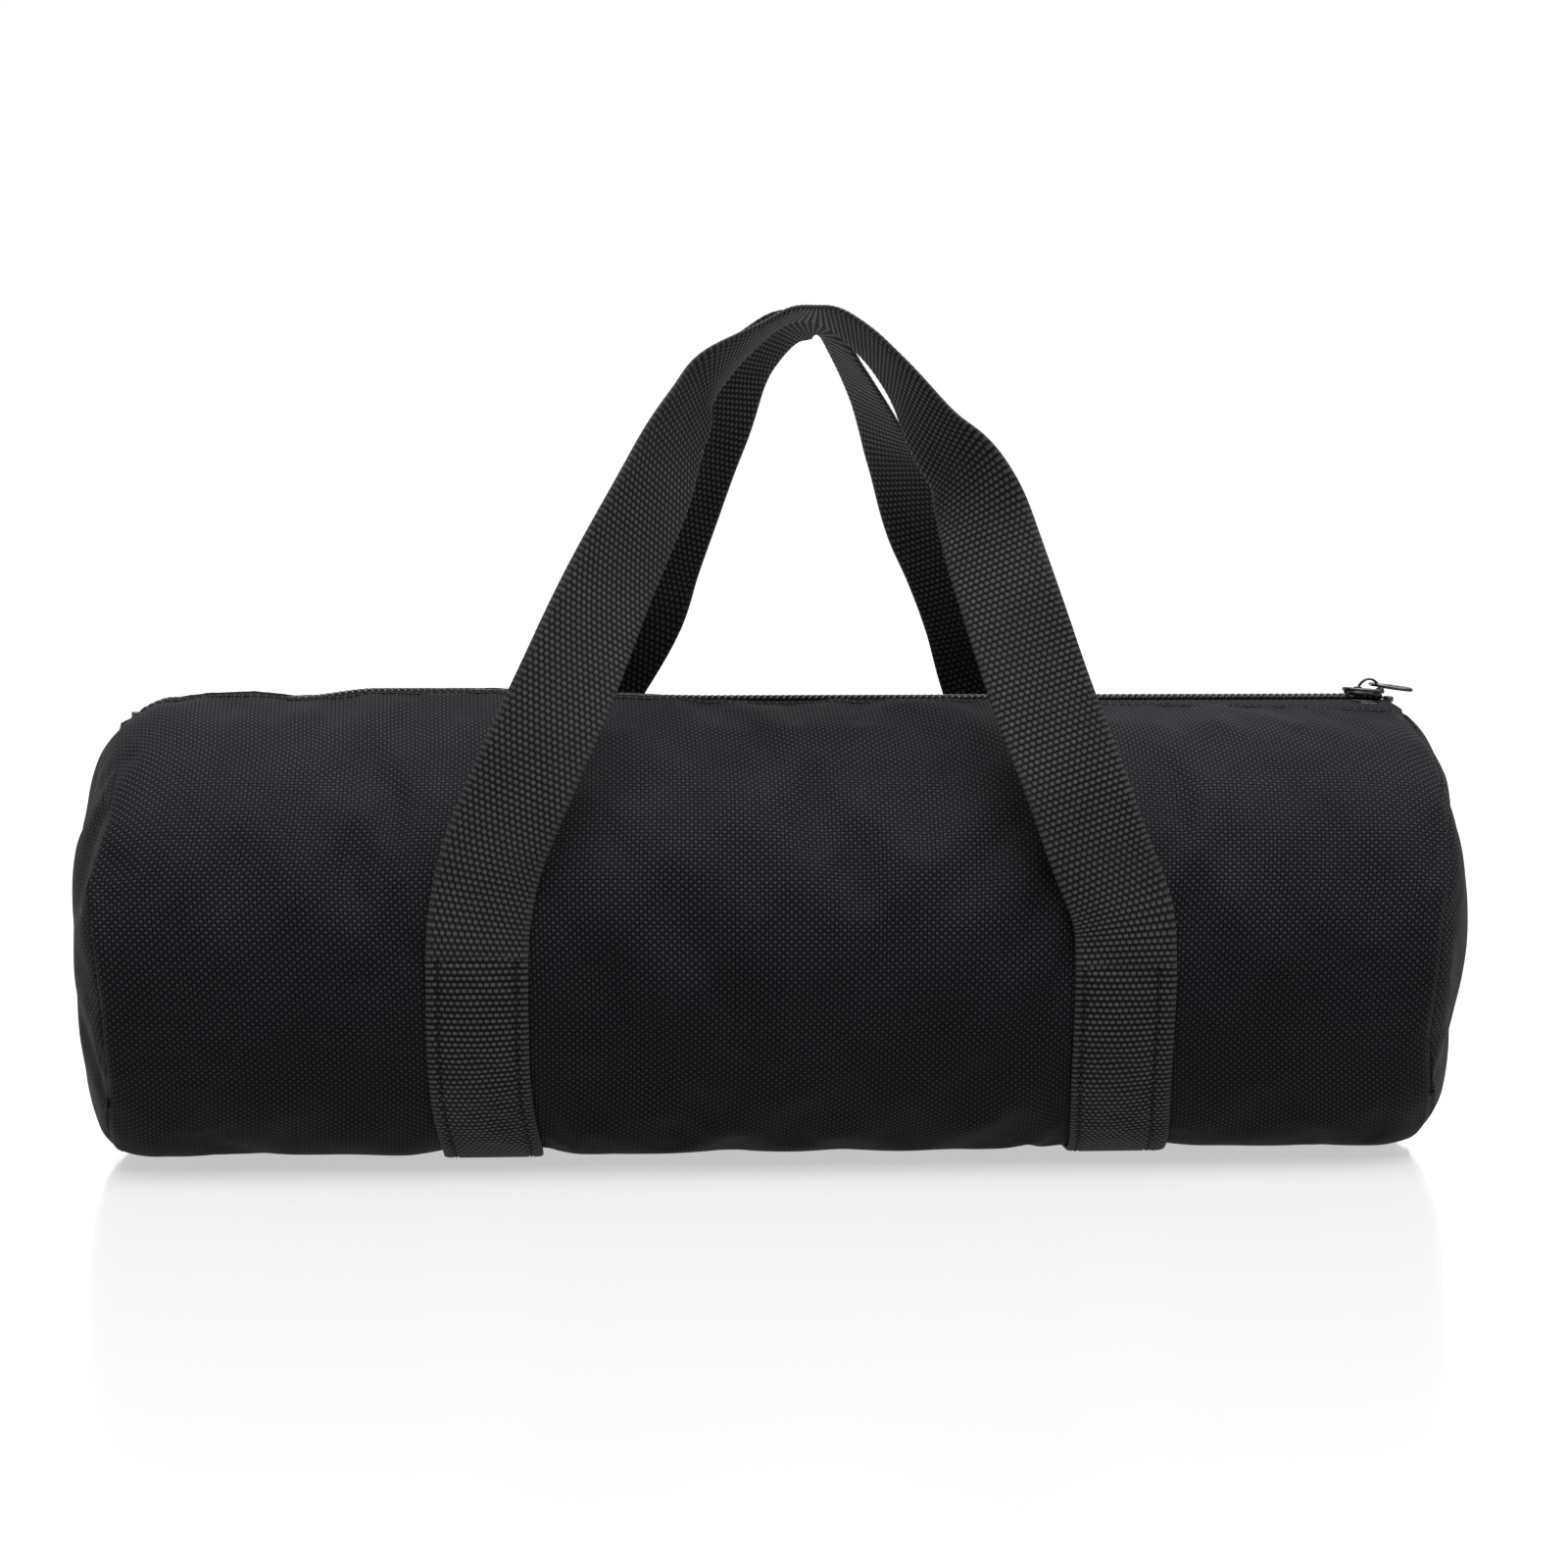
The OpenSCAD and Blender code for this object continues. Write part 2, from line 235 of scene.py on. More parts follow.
class Batch:
    """Collects many small solids into one object."""

    def __init__(self):
        self.verts, self.faces, self.count = [], [], 0

    def add(self, verts, faces):
        self.verts.append(np.asarray(verts).reshape(-1, 3))
        self.faces.extend([[i + self.count for i in f] for f in faces])
        self.count += len(self.verts[-1])

    def add_rings(self, rings):
        """Adds a solid from its rings (count, sides, 3), with a flat cap at each end."""
        count, sides = rings.shape[:2]
        faces, _ = grid_quads(count, sides, True)
        caps = [list(range(sides))[::-1], list(range((count - 1) * sides, count * sides))]
        self.add(rings, faces.tolist() + caps)

    def add_tube(self, path, radius, sides):
        self.add_rings(tube(path, radius, sides))

    def build(self, name):
        return new_object(name, np.concatenate(self.verts), self.faces)


# -------- Material helpers --------

class Nodes:
    """A short way to write a material's node tree."""

    def __init__(self, name):
        self.material = bpy.data.materials.new(name)
        self.material.use_nodes = True
        self.tree = self.material.node_tree
        self.shader = self.tree.nodes["Principled BSDF"]

    def new(self, kind, inputs=None, **values):
        """A node with some of its settings and inputs given; an input is a number, a colour or a link."""
        node = self.tree.nodes.new(kind)
        for key, value in values.items():
            setattr(node, key, value)
        for socket, value in (inputs or {}).items():
            self.put(node.inputs[socket], value)
        return node

    def put(self, socket, value):
        if isinstance(value, bpy.types.NodeSocket):
            self.tree.links.new(value, socket)
        else:
            socket.default_value = value

    def math(self, operation, a, b=0.0, c=0.0):
        return self.new("ShaderNodeMath", {0: a, 1: b, 2: c}, operation=operation).outputs[0]

    def uv(self):
        place = self.new("ShaderNodeUVMap", uv_map="UVMap").outputs[0]
        return self.new("ShaderNodeSeparateXYZ", {0: place}).outputs[:2]

    def place(self):
        return self.new("ShaderNodeTexCoord").outputs["Object"]

    def noise(self, scale, detail=3.0, roughness=0.5):
        inputs = {"Scale": scale, "Detail": detail, "Roughness": roughness, "Vector": self.place()}
        return self.new("ShaderNodeTexNoise", inputs).outputs["Fac"]

    def cells(self, scale):
        """Distance from the middle of the nearest of many small cells."""
        return self.new("ShaderNodeTexVoronoi", {"Scale": scale, "Vector": self.place()}).outputs["Distance"]

    def ramp(self, factor, low, high, at=(0.0, 1.0)):
        node = self.new("ShaderNodeValToRGB", {0: factor})
        for element, place, colour in zip(node.color_ramp.elements, at, (low, high)):
            element.position = place
            element.color = (*colour, 1.0)
        return node.outputs[0]

    def multiply(self, a, b):
        """The product of two colours."""
        inputs = {0: 1.0, 6: a, 7: b}
        return self.new("ShaderNodeMix", inputs, data_type="RGBA", blend_type="MULTIPLY").outputs[2]

    def spread(self, factor, low, high, at=(0.0, 1.0)):
        return self.new("ShaderNodeMapRange", {0: factor, 1: at[0], 2: at[1], 3: low, 4: high}).outputs[0]

    def bump(self, height, distance, strength=1.0, under=None):
        inputs = {"Height": height, "Distance": distance, "Strength": strength}
        if under is not None:
            inputs["Normal"] = under
        return self.new("ShaderNodeBump", inputs).outputs[0]

    def finish(self, colour, roughness, normal=None, **fixed):
        self.put(self.shader.inputs["Base Color"], colour)
        self.put(self.shader.inputs["Roughness"], roughness)
        if normal is not None:
            self.put(self.shader.inputs["Normal"], normal)
        for key, value in fixed.items():
            self.shader.inputs[key.replace("_", " ")].default_value = value
        return self.material


def plain_weave(n, pitch_u, pitch_v, low=0.4):
    """Height of a plain weave: rounded crossings, every second one lower, as the yarns take turns on top."""
    u, v = n.uv()
    a = n.math("SINE", n.math("MULTIPLY", u, math.pi / pitch_u))
    b = n.math("SINE", n.math("MULTIPLY", v, math.pi / pitch_v))
    crossing = n.math("MULTIPLY", a, b)
    pillow = n.math("POWER", n.math("ABSOLUTE", crossing), 0.6)
    turn = n.spread(n.math("SIGN", crossing), low, 1.0, at=(-1.0, 1.0))
    return n.math("MULTIPLY", pillow, turn)


CLOTH_WEAVE = (1.21 * MM, 1.08 * MM)  # distance between two threads, along the bag and round it


def oxford_cloth():
    n = Nodes("oxford_cloth")
    weave = plain_weave(n, *CLOTH_WEAVE, 0.30)
    # The weave's height also darkens the colour between the crossings and on every second, lower crossing: painted
    # shade of the threads, on top of the bump.
    thread_gap_shade = n.ramp(weave, (0.05, 0.05, 0.055), (1.0, 1.0, 1.0), at=(0.10, 0.80))
    patches = n.ramp(n.noise(38.0, 4.0, 0.6), (0.0174, 0.0182, 0.0215), (0.0257, 0.0269, 0.0316),
                     at=(0.3, 0.75))
    roughness = n.spread(n.noise(60.0), 0.52, 0.72)
    fuzz = n.bump(n.noise(900.0, 2.0), 0.05 * MM, 0.5)
    normal = n.bump(weave, 0.35 * MM, 1.0, under=fuzz)
    return n.finish(n.multiply(thread_gap_shade, patches), roughness, normal, Specular_IOR_Level=0.05)


def webbing_material():
    """Black nylon webbing. Each pick of the weave is in the mesh; here are the filaments, painted shade in the
    gaps between the ribs, and a drift of tone.
    """
    n = Nodes("webbing")
    relief = n.new("ShaderNodeAttribute", attribute_name="relief").outputs["Fac"]
    filament = n.math("SINE", n.math("MULTIPLY", n.uv()[1], 2 * math.pi / (0.31 * MM)))
    filament = n.math("MULTIPLY_ADD", filament, 0.5, 0.5)
    # The mesh's relief height darkens the colour in the grooves between the ribs: painted shade, not a darker
    # yarn.
    pick_groove_shade = n.ramp(relief, (0.02, 0.02, 0.02), (1.0, 1.0, 1.0), at=(0.52, 0.98))
    patches = n.ramp(n.noise(70.0, 4.0, 0.6), (0.0470, 0.0482, 0.0520), (0.0690, 0.0706, 0.0755),
                     at=(0.3, 0.75))
    roughness = n.spread(relief, 0.80, 0.36, at=(0.5, 0.95))
    fuzz = n.bump(n.noise(1500.0, 2.0), 0.04 * MM, 0.5)
    normal = n.bump(filament, 0.05 * MM, 0.8, under=fuzz)
    return n.finish(n.multiply(pick_groove_shade, patches), roughness, normal, Specular_IOR_Level=0.16)


def thread_material():
    n = Nodes("thread")
    twist = n.noise(2500.0, 2.0)
    colour = n.ramp(twist, (0.0015, 0.0015, 0.0018), (0.0070, 0.0070, 0.0080), at=(0.35, 0.7))
    return n.finish(colour, n.spread(n.noise(400.0), 0.45, 0.6), n.bump(twist, 0.06 * MM, 0.8),
                    Specular_IOR_Level=0.15)


def tape_material():
    n = Nodes("zip_tape")
    weave = plain_weave(n, 0.35 * MM, 0.7 * MM)
    # The weave's height sets the colour, darker in its hollows: painted shade between the threads.
    colour = n.ramp(weave, (0.006, 0.006, 0.007), (0.015, 0.015, 0.017))
    return n.finish(colour, 0.7, n.bump(weave, 0.12 * MM, 1.0), Specular_IOR_Level=0.12)


def coil_material():
    n = Nodes("zip_coil")
    rubbed = n.noise(500.0, 3.0)
    colour = n.ramp(rubbed, (0.010, 0.010, 0.011), (0.028, 0.028, 0.030), at=(0.4, 0.75))
    return n.finish(colour, n.spread(rubbed, 0.28, 0.45), n.bump(n.noise(3000.0), 0.02 * MM, 0.5))


def dark_metal(name, base, rough):
    """Gunmetal plating with fine scratches, brighter where it has rubbed."""
    n = Nodes(name)
    rub = n.noise(350.0, 5.0, 0.65)
    colour = n.ramp(rub, base, tuple(c * 2.2 for c in base), at=(0.42, 0.8))
    roughness = n.spread(n.noise(900.0, 4.0), rough * 0.7, rough * 1.5)
    return n.finish(colour, roughness, n.bump(n.noise(1800.0), 0.01 * MM, 0.5), Metallic=1.0)


def liner_material():
    n = Nodes("liner")
    weave = plain_weave(n, 0.3 * MM, 0.3 * MM)
    creases = n.noise(90.0, 6.0, 0.7)
    # The crease field that bumps the liner also darkens its colour in the hollows: painted shade in the creases.
    colour = n.ramp(creases, (0.030, 0.034, 0.031), (0.070, 0.078, 0.070), at=(0.3, 0.7))
    return n.finish(colour, 0.42, n.bump(weave, 0.05 * MM, 1.0, under=n.bump(creases, 0.6 * MM, 0.8)))


def sand_material():
    n = Nodes("sand")
    grain = n.cells(1600.0)
    mixed = n.math("MULTIPLY_ADD", n.noise(45.0, 5.0), 0.5, n.math("MULTIPLY", grain, 0.5))
    colour = n.ramp(mixed, (0.22, 0.14, 0.07), (0.62, 0.47, 0.30), at=(0.15, 0.75))
    return n.finish(colour, 0.9, n.bump(grain, 0.5 * MM, 1.0))


def fibre_tape(name, size, colour_low, colour_high):
    """Loop or hook tape: a dense field of short fibres."""
    n = Nodes(name)
    field = n.cells(1.0 / size)
    colour = n.ramp(field, colour_high, colour_low, at=(0.0, 0.7))
    return n.finish(colour, 0.8, n.bump(field, 0.5 * MM, 1.0), Sheen_Weight=0.2)


def floor_material():
    """The lit white table that the bag stands on."""
    n = Nodes("floor")
    tone = n.ramp(n.noise(3.0, 2.0), (0.225, 0.225, 0.225), (0.235, 0.235, 0.235))
    return n.finish(tone, 0.13, Specular_IOR_Level=0.5,
                    Emission_Color=(1.0, 1.0, 1.0, 1.0), Emission_Strength=0.53)


MATERIALS = {
    "oxford_cloth": oxford_cloth(),
    "webbing": webbing_material(),
    "thread": thread_material(),
    "zip_tape": tape_material(),
    "zip_coil": coil_material(),
    "zip_stop": dark_metal("zip_stop", (0.06, 0.06, 0.066), 0.4),
    "slider_metal": dark_metal("slider_metal", (0.040, 0.042, 0.046), 0.26),
    "pull_metal": dark_metal("pull_metal", (0.050, 0.052, 0.056), 0.26),
    "binding_tape": fibre_tape("binding_tape", 0.5 * MM, (0.005, 0.005, 0.006), (0.016, 0.016, 0.018)),
    "liner": liner_material(),
    "sand": sand_material(),
    "loop_tape": fibre_tape("loop_tape", 0.6 * MM, (0.006, 0.006, 0.007), (0.02, 0.02, 0.022)),
    "hook_tape": fibre_tape("hook_tape", 1.2 * MM, (0.008, 0.008, 0.009), (0.03, 0.03, 0.032)),
}


def place_piece(obj, slot, body, *nodes):
    """Gives a piece its material and slot, hides the CAD nodes it stands for, and puts it on its body."""
    obj.data.materials.append(MATERIALS[slot])
    if nodes:
        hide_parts(*nodes)
    if body:
        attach(obj, body)


# -------- Camera, light and floor --------

def add_camera():
    azimuth, elevation, distance = math.radians(-4.0), math.radians(3.6), 1.3
    aim = Vector((4.5 * MM, 0, 112 * MM))
    away = Vector((math.sin(azimuth) * math.cos(elevation), -math.cos(azimuth) * math.cos(elevation),
                   math.sin(elevation)))
    data = bpy.data.cameras.new("camera")
    data.sensor_width = 36.0
    data.lens = 96.8
    camera = add_object("camera", data)
    camera.location = aim + away * distance
    camera.rotation_euler = (-away).to_track_quat("-Z", "Y").to_euler()
    bpy.context.scene.camera = camera


def add_soft_sun():
    """Even studio light from above, as from a very large softbox."""
    data = bpy.data.lights.new("overhead", "SUN")
    data.energy = 7.0
    data.angle = math.radians(52)
    add_object("overhead", data).rotation_euler = (math.radians(14), math.radians(5), 0)


def add_light():
    """A white surround, darker behind the camera, and the sun over it."""
    world = bpy.data.worlds.new("world")
    world.use_nodes = True
    tree = world.node_tree
    direction = tree.nodes.new("ShaderNodeTexCoord").outputs["Generated"]
    parts = tree.nodes.new("ShaderNodeSeparateXYZ")
    ramp = tree.nodes.new("ShaderNodeMapRange")
    ramp.inputs["From Min"].default_value, ramp.inputs["From Max"].default_value = -0.45, 0.05
    ramp.inputs["To Min"].default_value, ramp.inputs["To Max"].default_value = 0.15, 1.0
    tree.links.new(direction, parts.inputs[0])
    tree.links.new(parts.outputs["Y"], ramp.inputs["Value"])
    tree.links.new(ramp.outputs["Result"], tree.nodes["Background"].inputs["Strength"])
    tree.nodes["Background"].inputs["Color"].default_value = (1.0, 1.0, 1.0, 1.0)
    bpy.context.scene.world = world
    add_soft_sun()
    bpy.context.scene.view_settings.view_transform = "Standard"
    bpy.context.scene.view_settings.look = "None"


def add_floor():
    side = 6.0
    points = np.array([[[x, y, 0.0] for y in (-side, side)] for x in (-side, side)])
    floor = grid_object("floor", points, points[..., :2])
    floor.data.materials.append(floor_material())


# Height of each strap's cross row, and how far the strap's middle lies off its CAD place at its front foot
# and at the floor: the straps are sewn on a little askew.
STRAP_FOOT = {"left": 66.9 * MM, "right": 63.2 * MM}
STRAP_SHIFT = {"left": (-1.0 * MM, 3.8 * MM), "right": (0.5 * MM, 4.8 * MM)}


def strap_x(side, y):
    """Where the middle of a sewn strap runs at depth y: slanting over the front and straight at the back."""
    front, floor = STRAP_SHIFT[side]
    down = smooth_step(y, -BAG_R, -20 * MM)
    back = smooth_step(y, -20 * MM, BAG_R)
    return STRAP_X[side] + front + (floor - front) * down - floor * back


# -------- Bag cloth --------

CLOTH_R = BAG_R - 0.4 * MM
ZIP_ROW_Y = 8.6 * MM
ZIP_EDGE_Y = 6.0 * MM
FLOOR_GAP = 0.6 * MM
SIM_FRAMES = 20

# Heights, and how far the seam of each end lies from the middle of the bag there, in millimetres: the ends of
# the filled bag are pinched in low down and bulge at mid height.
SEAM_PROFILE = {
    "left": [(0, 200.0), (10, 199.6), (26, 198.1), (52, 199.1), (70, 201.0), (88, 203.0), (95, 201.0),
             (110, 197.7), (126, 196.0), (134, 197.0), (140, 197.4)],
    "right": [(0, 198.5), (10, 199.0), (26, 195.5), (38, 193.2), (55, 194.2), (77, 196.0), (86, 198.2),
              (98, 199.6), (115, 200.2), (128, 199.8), (134, 198.0), (140, 197.4)],
}


def seam_distance(side, y, z):
    """Distance of an end seam from the bag's middle, easing to an even ring at the back."""
    rows = np.array(SEAM_PROFILE[side]) * MM
    front = np.interp(z, rows[:, 0], rows[:, 1])
    rear = 197 * MM + 1.2 * MM * np.sin(z * 55 + (0.8 if side == "left" else 2.1))
    share = smooth_step(y, -30 * MM, 40 * MM)
    return front * (1 - share) + rear * share


def bag_section(angle, radius):
    """Place on the bag's flattened round section; the angle runs from the top over the front."""
    y = -radius * np.sin(angle)
    z = AXIS_Z + radius * np.cos(angle)
    return y, z


def settle_on_floor(z, softness=2.0 * MM):
    """Lifts what would lie below the floor, with a soft bend where the cloth meets it."""
    return FLOOR_GAP + softness * np.logaddexp(0, (z - FLOOR_GAP) / softness)


def shoulder_drop(z, to_seam):
    """How far the cloth falls in from its even radius near an end seam: more over the top than below."""
    high = smooth_step(z, 60 * MM, 135 * MM)
    soft = (1.2 * MM + 4.4 * MM * high) * np.exp(-(to_seam / (8 * MM + 4 * MM * high)) ** 1.4)
    return soft + 1.5 * MM * np.exp(-to_seam / (1.6 * MM))


def near_zip(from_top):
    """1 at the zip and 0 away from it, by the angle from the bag's top."""
    return np.exp(-(from_top / 0.34) ** 3)


def seam_ring(side, angle):
    """y, z and distance from the middle of an end seam at some angles."""
    y, z = bag_section(angle, CLOTH_R)
    reach = seam_distance(side, y, z)
    beside_zip = near_zip(np.abs((angle + math.pi) % (2 * math.pi) - math.pi))
    zip_drop = 0.4 * MM - zip_line_z(np.float64(-200 * MM if side == "left" else 200 * MM))
    y, z = bag_section(angle, CLOTH_R - shoulder_drop(z, 0.0) * (1 - beside_zip) - zip_drop * beside_zip)
    return y, settle_on_floor(z), reach


def barrel_points(angles, places):
    """Outer surface of the barrel's cloth before it is blown out, as (places along x, angles, 3)."""
    along, angle = np.meshgrid(places, angles, indexing="ij")
    y, z = bag_section(angle, CLOTH_R)
    reach = np.where(along < 0, seam_distance("left", y, z), seam_distance("right", y, z))
    x = along * reach
    to_seam = (1 - np.abs(along)) * reach
    from_top = np.minimum(angle, 2 * math.pi - angle)
    lumps = 0.9 * MM * waves(x * 22, angle * 1.3, 31, 8, 0.6, 2.2)
    lumps = lumps + 0.5 * MM * waves(x * 60, angle * 3.2, 32, 8)
    beside_straps = np.ones_like(x)
    for side in STRAP_X:
        beside_straps = beside_straps * (1 - np.exp(-(np.abs(x - strap_x(side, y)) / (22 * MM)) ** 6))
    quiet = smooth_step(to_seam, 0, 30 * MM) * smooth_step(from_top, 0.1, 0.7) * beside_straps
    beside_zip = near_zip(from_top)
    drop = shoulder_drop(z, to_seam) * (1 - beside_zip) - zip_line_z(x) * beside_zip
    low_down = 1 - smooth_step(z, 6 * MM, 42 * MM)
    belly = 2.6 * MM * low_down * smooth_step(to_seam, 0, 14 * MM) * beside_straps
    y, z = bag_section(angle, CLOTH_R - drop + lumps * quiet + belly)
    z = z + zip_side_lift(x) * beside_zip
    return np.stack([x, y, settle_on_floor(z)], -1)


# Places along the bag and how far the cloth beside the zip stands over its even height there, in millimetres.
ZIP_SIDE_LIFT = [(-200, 0.2), (-190, 0.3), (-182, 0.9), (-172, 2.1), (-158, 2.7), (-146, 1.4), (-132, 0.6),
                 (-110, 0.8), (-85, 1.3), (-42, 1.3), (-20, 0.3), (5, -0.7), (20, 0.2), (53, 0.2), (85, -0.4),
                 (101, -0.9), (125, -1.4), (160, -2.2), (178, -2.9), (190, -3.2), (200, -2.4)]


def zip_side_lift(x):
    rows = np.array(ZIP_SIDE_LIFT) * MM
    return np.interp(x, rows[:, 0], rows[:, 1])


def simulate_cloth(obj, pins, pressure, slack, bending, cap):
    """Blows the cloth out from inside, with the pinned points held and a cap on how far any point moves."""
    start = mesh_points(obj)
    obj.vertex_groups.new(name="pins").add(np.flatnonzero(pins).tolist(), 1.0, "REPLACE")
    cloth = obj.modifiers.new("cloth", "CLOTH")
    values = {"quality": 6, "mass": 0.2, "tension_stiffness": 22, "compression_stiffness": 22,
              "shear_stiffness": 8, "bending_stiffness": bending, "air_damping": 5, "use_pressure": True,
              "uniform_pressure_force": pressure, "shrink_min": -slack, "vertex_group_mass": "pins"}
    for key, value in values.items():
        setattr(cloth.settings, key, value)
    cloth.settings.effector_weights.gravity = 0
    scene = bpy.context.scene
    cloth.point_cache.frame_start, cloth.point_cache.frame_end = 1, SIM_FRAMES
    for step in range(1, SIM_FRAMES + 1):
        scene.frame_set(step)
    graph = bpy.context.evaluated_depsgraph_get()
    moved = np.empty(len(start) * 3, np.float32)
    obj.evaluated_get(graph).data.vertices.foreach_get("co", moved)
    obj.modifiers.remove(cloth)
    scene.frame_set(1)
    shift = moved.reshape(-1, 3) - start
    length = np.linalg.norm(shift, axis=1, keepdims=True)
    points = start + shift * (cap * np.tanh(length / cap) / np.maximum(length, 1e-9))
    points[:, 2] = settle_on_floor(points[:, 2], 0.8 * MM)
    set_points(obj, points)


def apply_modifiers(obj):
    """Puts the modifiers' result into the mesh."""
    graph = bpy.context.evaluated_depsgraph_get()
    mesh = bpy.data.meshes.new_from_object(obj.evaluated_get(graph), depsgraph=graph)
    obj.modifiers.clear()
    obj.data = mesh


def face_outward(obj, centre):
    """Turns the faces so that they look away from a place inside the piece."""
    mesh = obj.data
    normals, centres = np.empty(len(mesh.polygons) * 3), np.empty(len(mesh.polygons) * 3)
    mesh.polygons.foreach_get("normal", normals)
    mesh.polygons.foreach_get("center", centres)
    away = centres.reshape(-1, 3) - np.asarray(centre)
    if (normals.reshape(-1, 3) * away).sum() < 0:
        mesh.flip_normals()


def finish_cloth(obj, shape=None):
    """One subdivision of the simulated cloth, its sewn details, and its thickness, inwards."""
    obj.modifiers.new("finer", "SUBSURF").levels = 1
    apply_modifiers(obj)
    if shape is not None:
        set_points(obj, shape(mesh_points(obj)))
    solid = obj.modifiers.new("thickness", "SOLIDIFY")
    solid.thickness, solid.offset = CLOTH, -1.0
    apply_modifiers(obj)
    obj.data.polygons.foreach_set("use_smooth", [True] * len(obj.data.polygons))


BARREL_ROWS = 150
EDGE_CELLS = np.array([0, 0.7, 1.4, 2.2, 3.0, 3.9, 5.0, 6.5]) * MM


def barrel_angles():
    """Angles round the barrel from one zip edge to the other, closer together beside the zip."""
    edge = math.asin(ZIP_EDGE_Y / CLOTH_R)
    near = edge + EDGE_CELLS / CLOTH_R
    between = np.linspace(near[-1], 2 * math.pi - near[-1], 146)[1:-1]
    return np.concatenate([near, between, 2 * math.pi - near[::-1]])


def barrel_rows():
    """Places along the barrel from -1 to 1, closer together beside the end seams."""
    t = np.linspace(-1, 1, BARREL_ROWS)
    return t + 0.09 * np.sin(math.pi * t)


def fold_zip_edge(points):
    """Turns the cloth's edge under beside the zip, so that it ends in a soft roll."""
    low_y = np.abs(points[:, 1])
    beside = (points[:, 2] > AXIS_Z) & (low_y < 16 * MM)
    depth = low_y - ZIP_EDGE_Y
    roll = 0.35 * MM * bell(depth - 1.3 * MM, 1.2 * MM) - 0.75 * MM * bell(depth, 0.55 * MM)
    seam = -0.35 * MM * bell(low_y - ZIP_ROW_Y, 0.7 * MM)
    points[:, 2] += np.where(beside, roll + seam, 0)
    return points


def build_barrel():
    angles, places = barrel_angles(), barrel_rows()
    points = barrel_points(angles, places)
    uv = np.stack(np.meshgrid(places * 0.2, angles * CLOTH_R, indexing="ij"), -1)
    barrel = grid_object("bag_cloth", points, uv)
    face_outward(barrel, (0, 0, AXIS_Z))
    held = np.zeros(points.shape[:2])
    held[[0, -1]], held[:, [0, 1, -2, -1]] = 1, 1
    x, y, z = points[..., 0], points[..., 1], points[..., 2]
    for side in STRAP_X:
        held[(np.abs(x - strap_x(side, y)) < WEB_WIDTH / 2 - 1 * MM) & (z < STRAP_FOOT[side])] = 1
    simulate_cloth(barrel, held.ravel(), 4.0, 0.012, 1.5, 2.2 * MM)
    finish_cloth(barrel, fold_zip_edge)
    place_piece(barrel, "oxford_cloth", "bag", "body_panel")
    return barrel


END_CELLS = 56


def build_end(side):
    """One end panel: a disc of cloth that bulges out of the end seam."""
    sign, seed = (-1, 41) if side == "left" else (1, 51)
    u, v = np.meshgrid(np.linspace(-1, 1, END_CELLS), np.linspace(-1, 1, END_CELLS), indexing="ij")
    a, b = u * np.sqrt(1 - v * v / 2), v * np.sqrt(1 - u * u / 2)
    inside, angle = np.hypot(a, b), np.arctan2(-a, b)
    rim_y, rim_z, reach = seam_ring(side, angle)
    middle_z = AXIS_Z + 1 * MM
    y = rim_y * inside
    z = middle_z + (rim_z - middle_z) * inside
    t = 1 - inside
    swell = 1 - (1 - t) ** 4.2
    lumps = 0.9 * MM * waves(y * 40, z * 40, seed, 6) * smooth_step(t, 0, 0.4)
    x = sign * (reach + (END_X - 1.4 * MM - reach) * swell + lumps)
    end = grid_object("bag_end_" + side, np.stack([x, y, z], -1), np.stack([y, z], -1))
    face_outward(end, (0, 0, AXIS_Z))
    simulate_cloth(end, (inside > 0.999).astype(float).ravel(), 3.0, 0.02, 1.0, 2.0 * MM)
    finish_cloth(end)
    place_piece(end, "oxford_cloth", "bag", "end_panel_" + side)


# -------- Webbing --------

PICK = 1.85 * MM
COLUMNS = 16
STEPS_PER_PICK = 3
STEPS_PER_COLUMN = 4
RELIEF = 0.36 * MM


def woven_relief(s, t, seed):
    """Height of the webbing's ribs: dashes side by side across the width, staggered from pick to pick."""
    column = WEB_WIDTH / COLUMNS
    wobble = 0.05 * waves(s * 40, t * 60, seed)
    pick = s / PICK + wobble
    rib = 1 - np.abs(2 * (pick - np.floor(pick)) - 1) ** 2.2
    dash = np.abs(np.sin(math.pi * (t / column + 0.5 * (np.floor(pick) % 2))))
    edge = smooth_step(np.abs(t), WEB_WIDTH / 2 - 2.2 * MM, WEB_WIDTH / 2 - 1.4 * MM)
    selvedge = np.abs(np.sin(math.pi * pick)) ** 0.8
    body = rib ** 0.8 * (0.40 + 0.60 * dash ** 0.5)
    return RELIEF * (body * (1 - edge) + edge * (0.2 + 0.65 * selvedge))


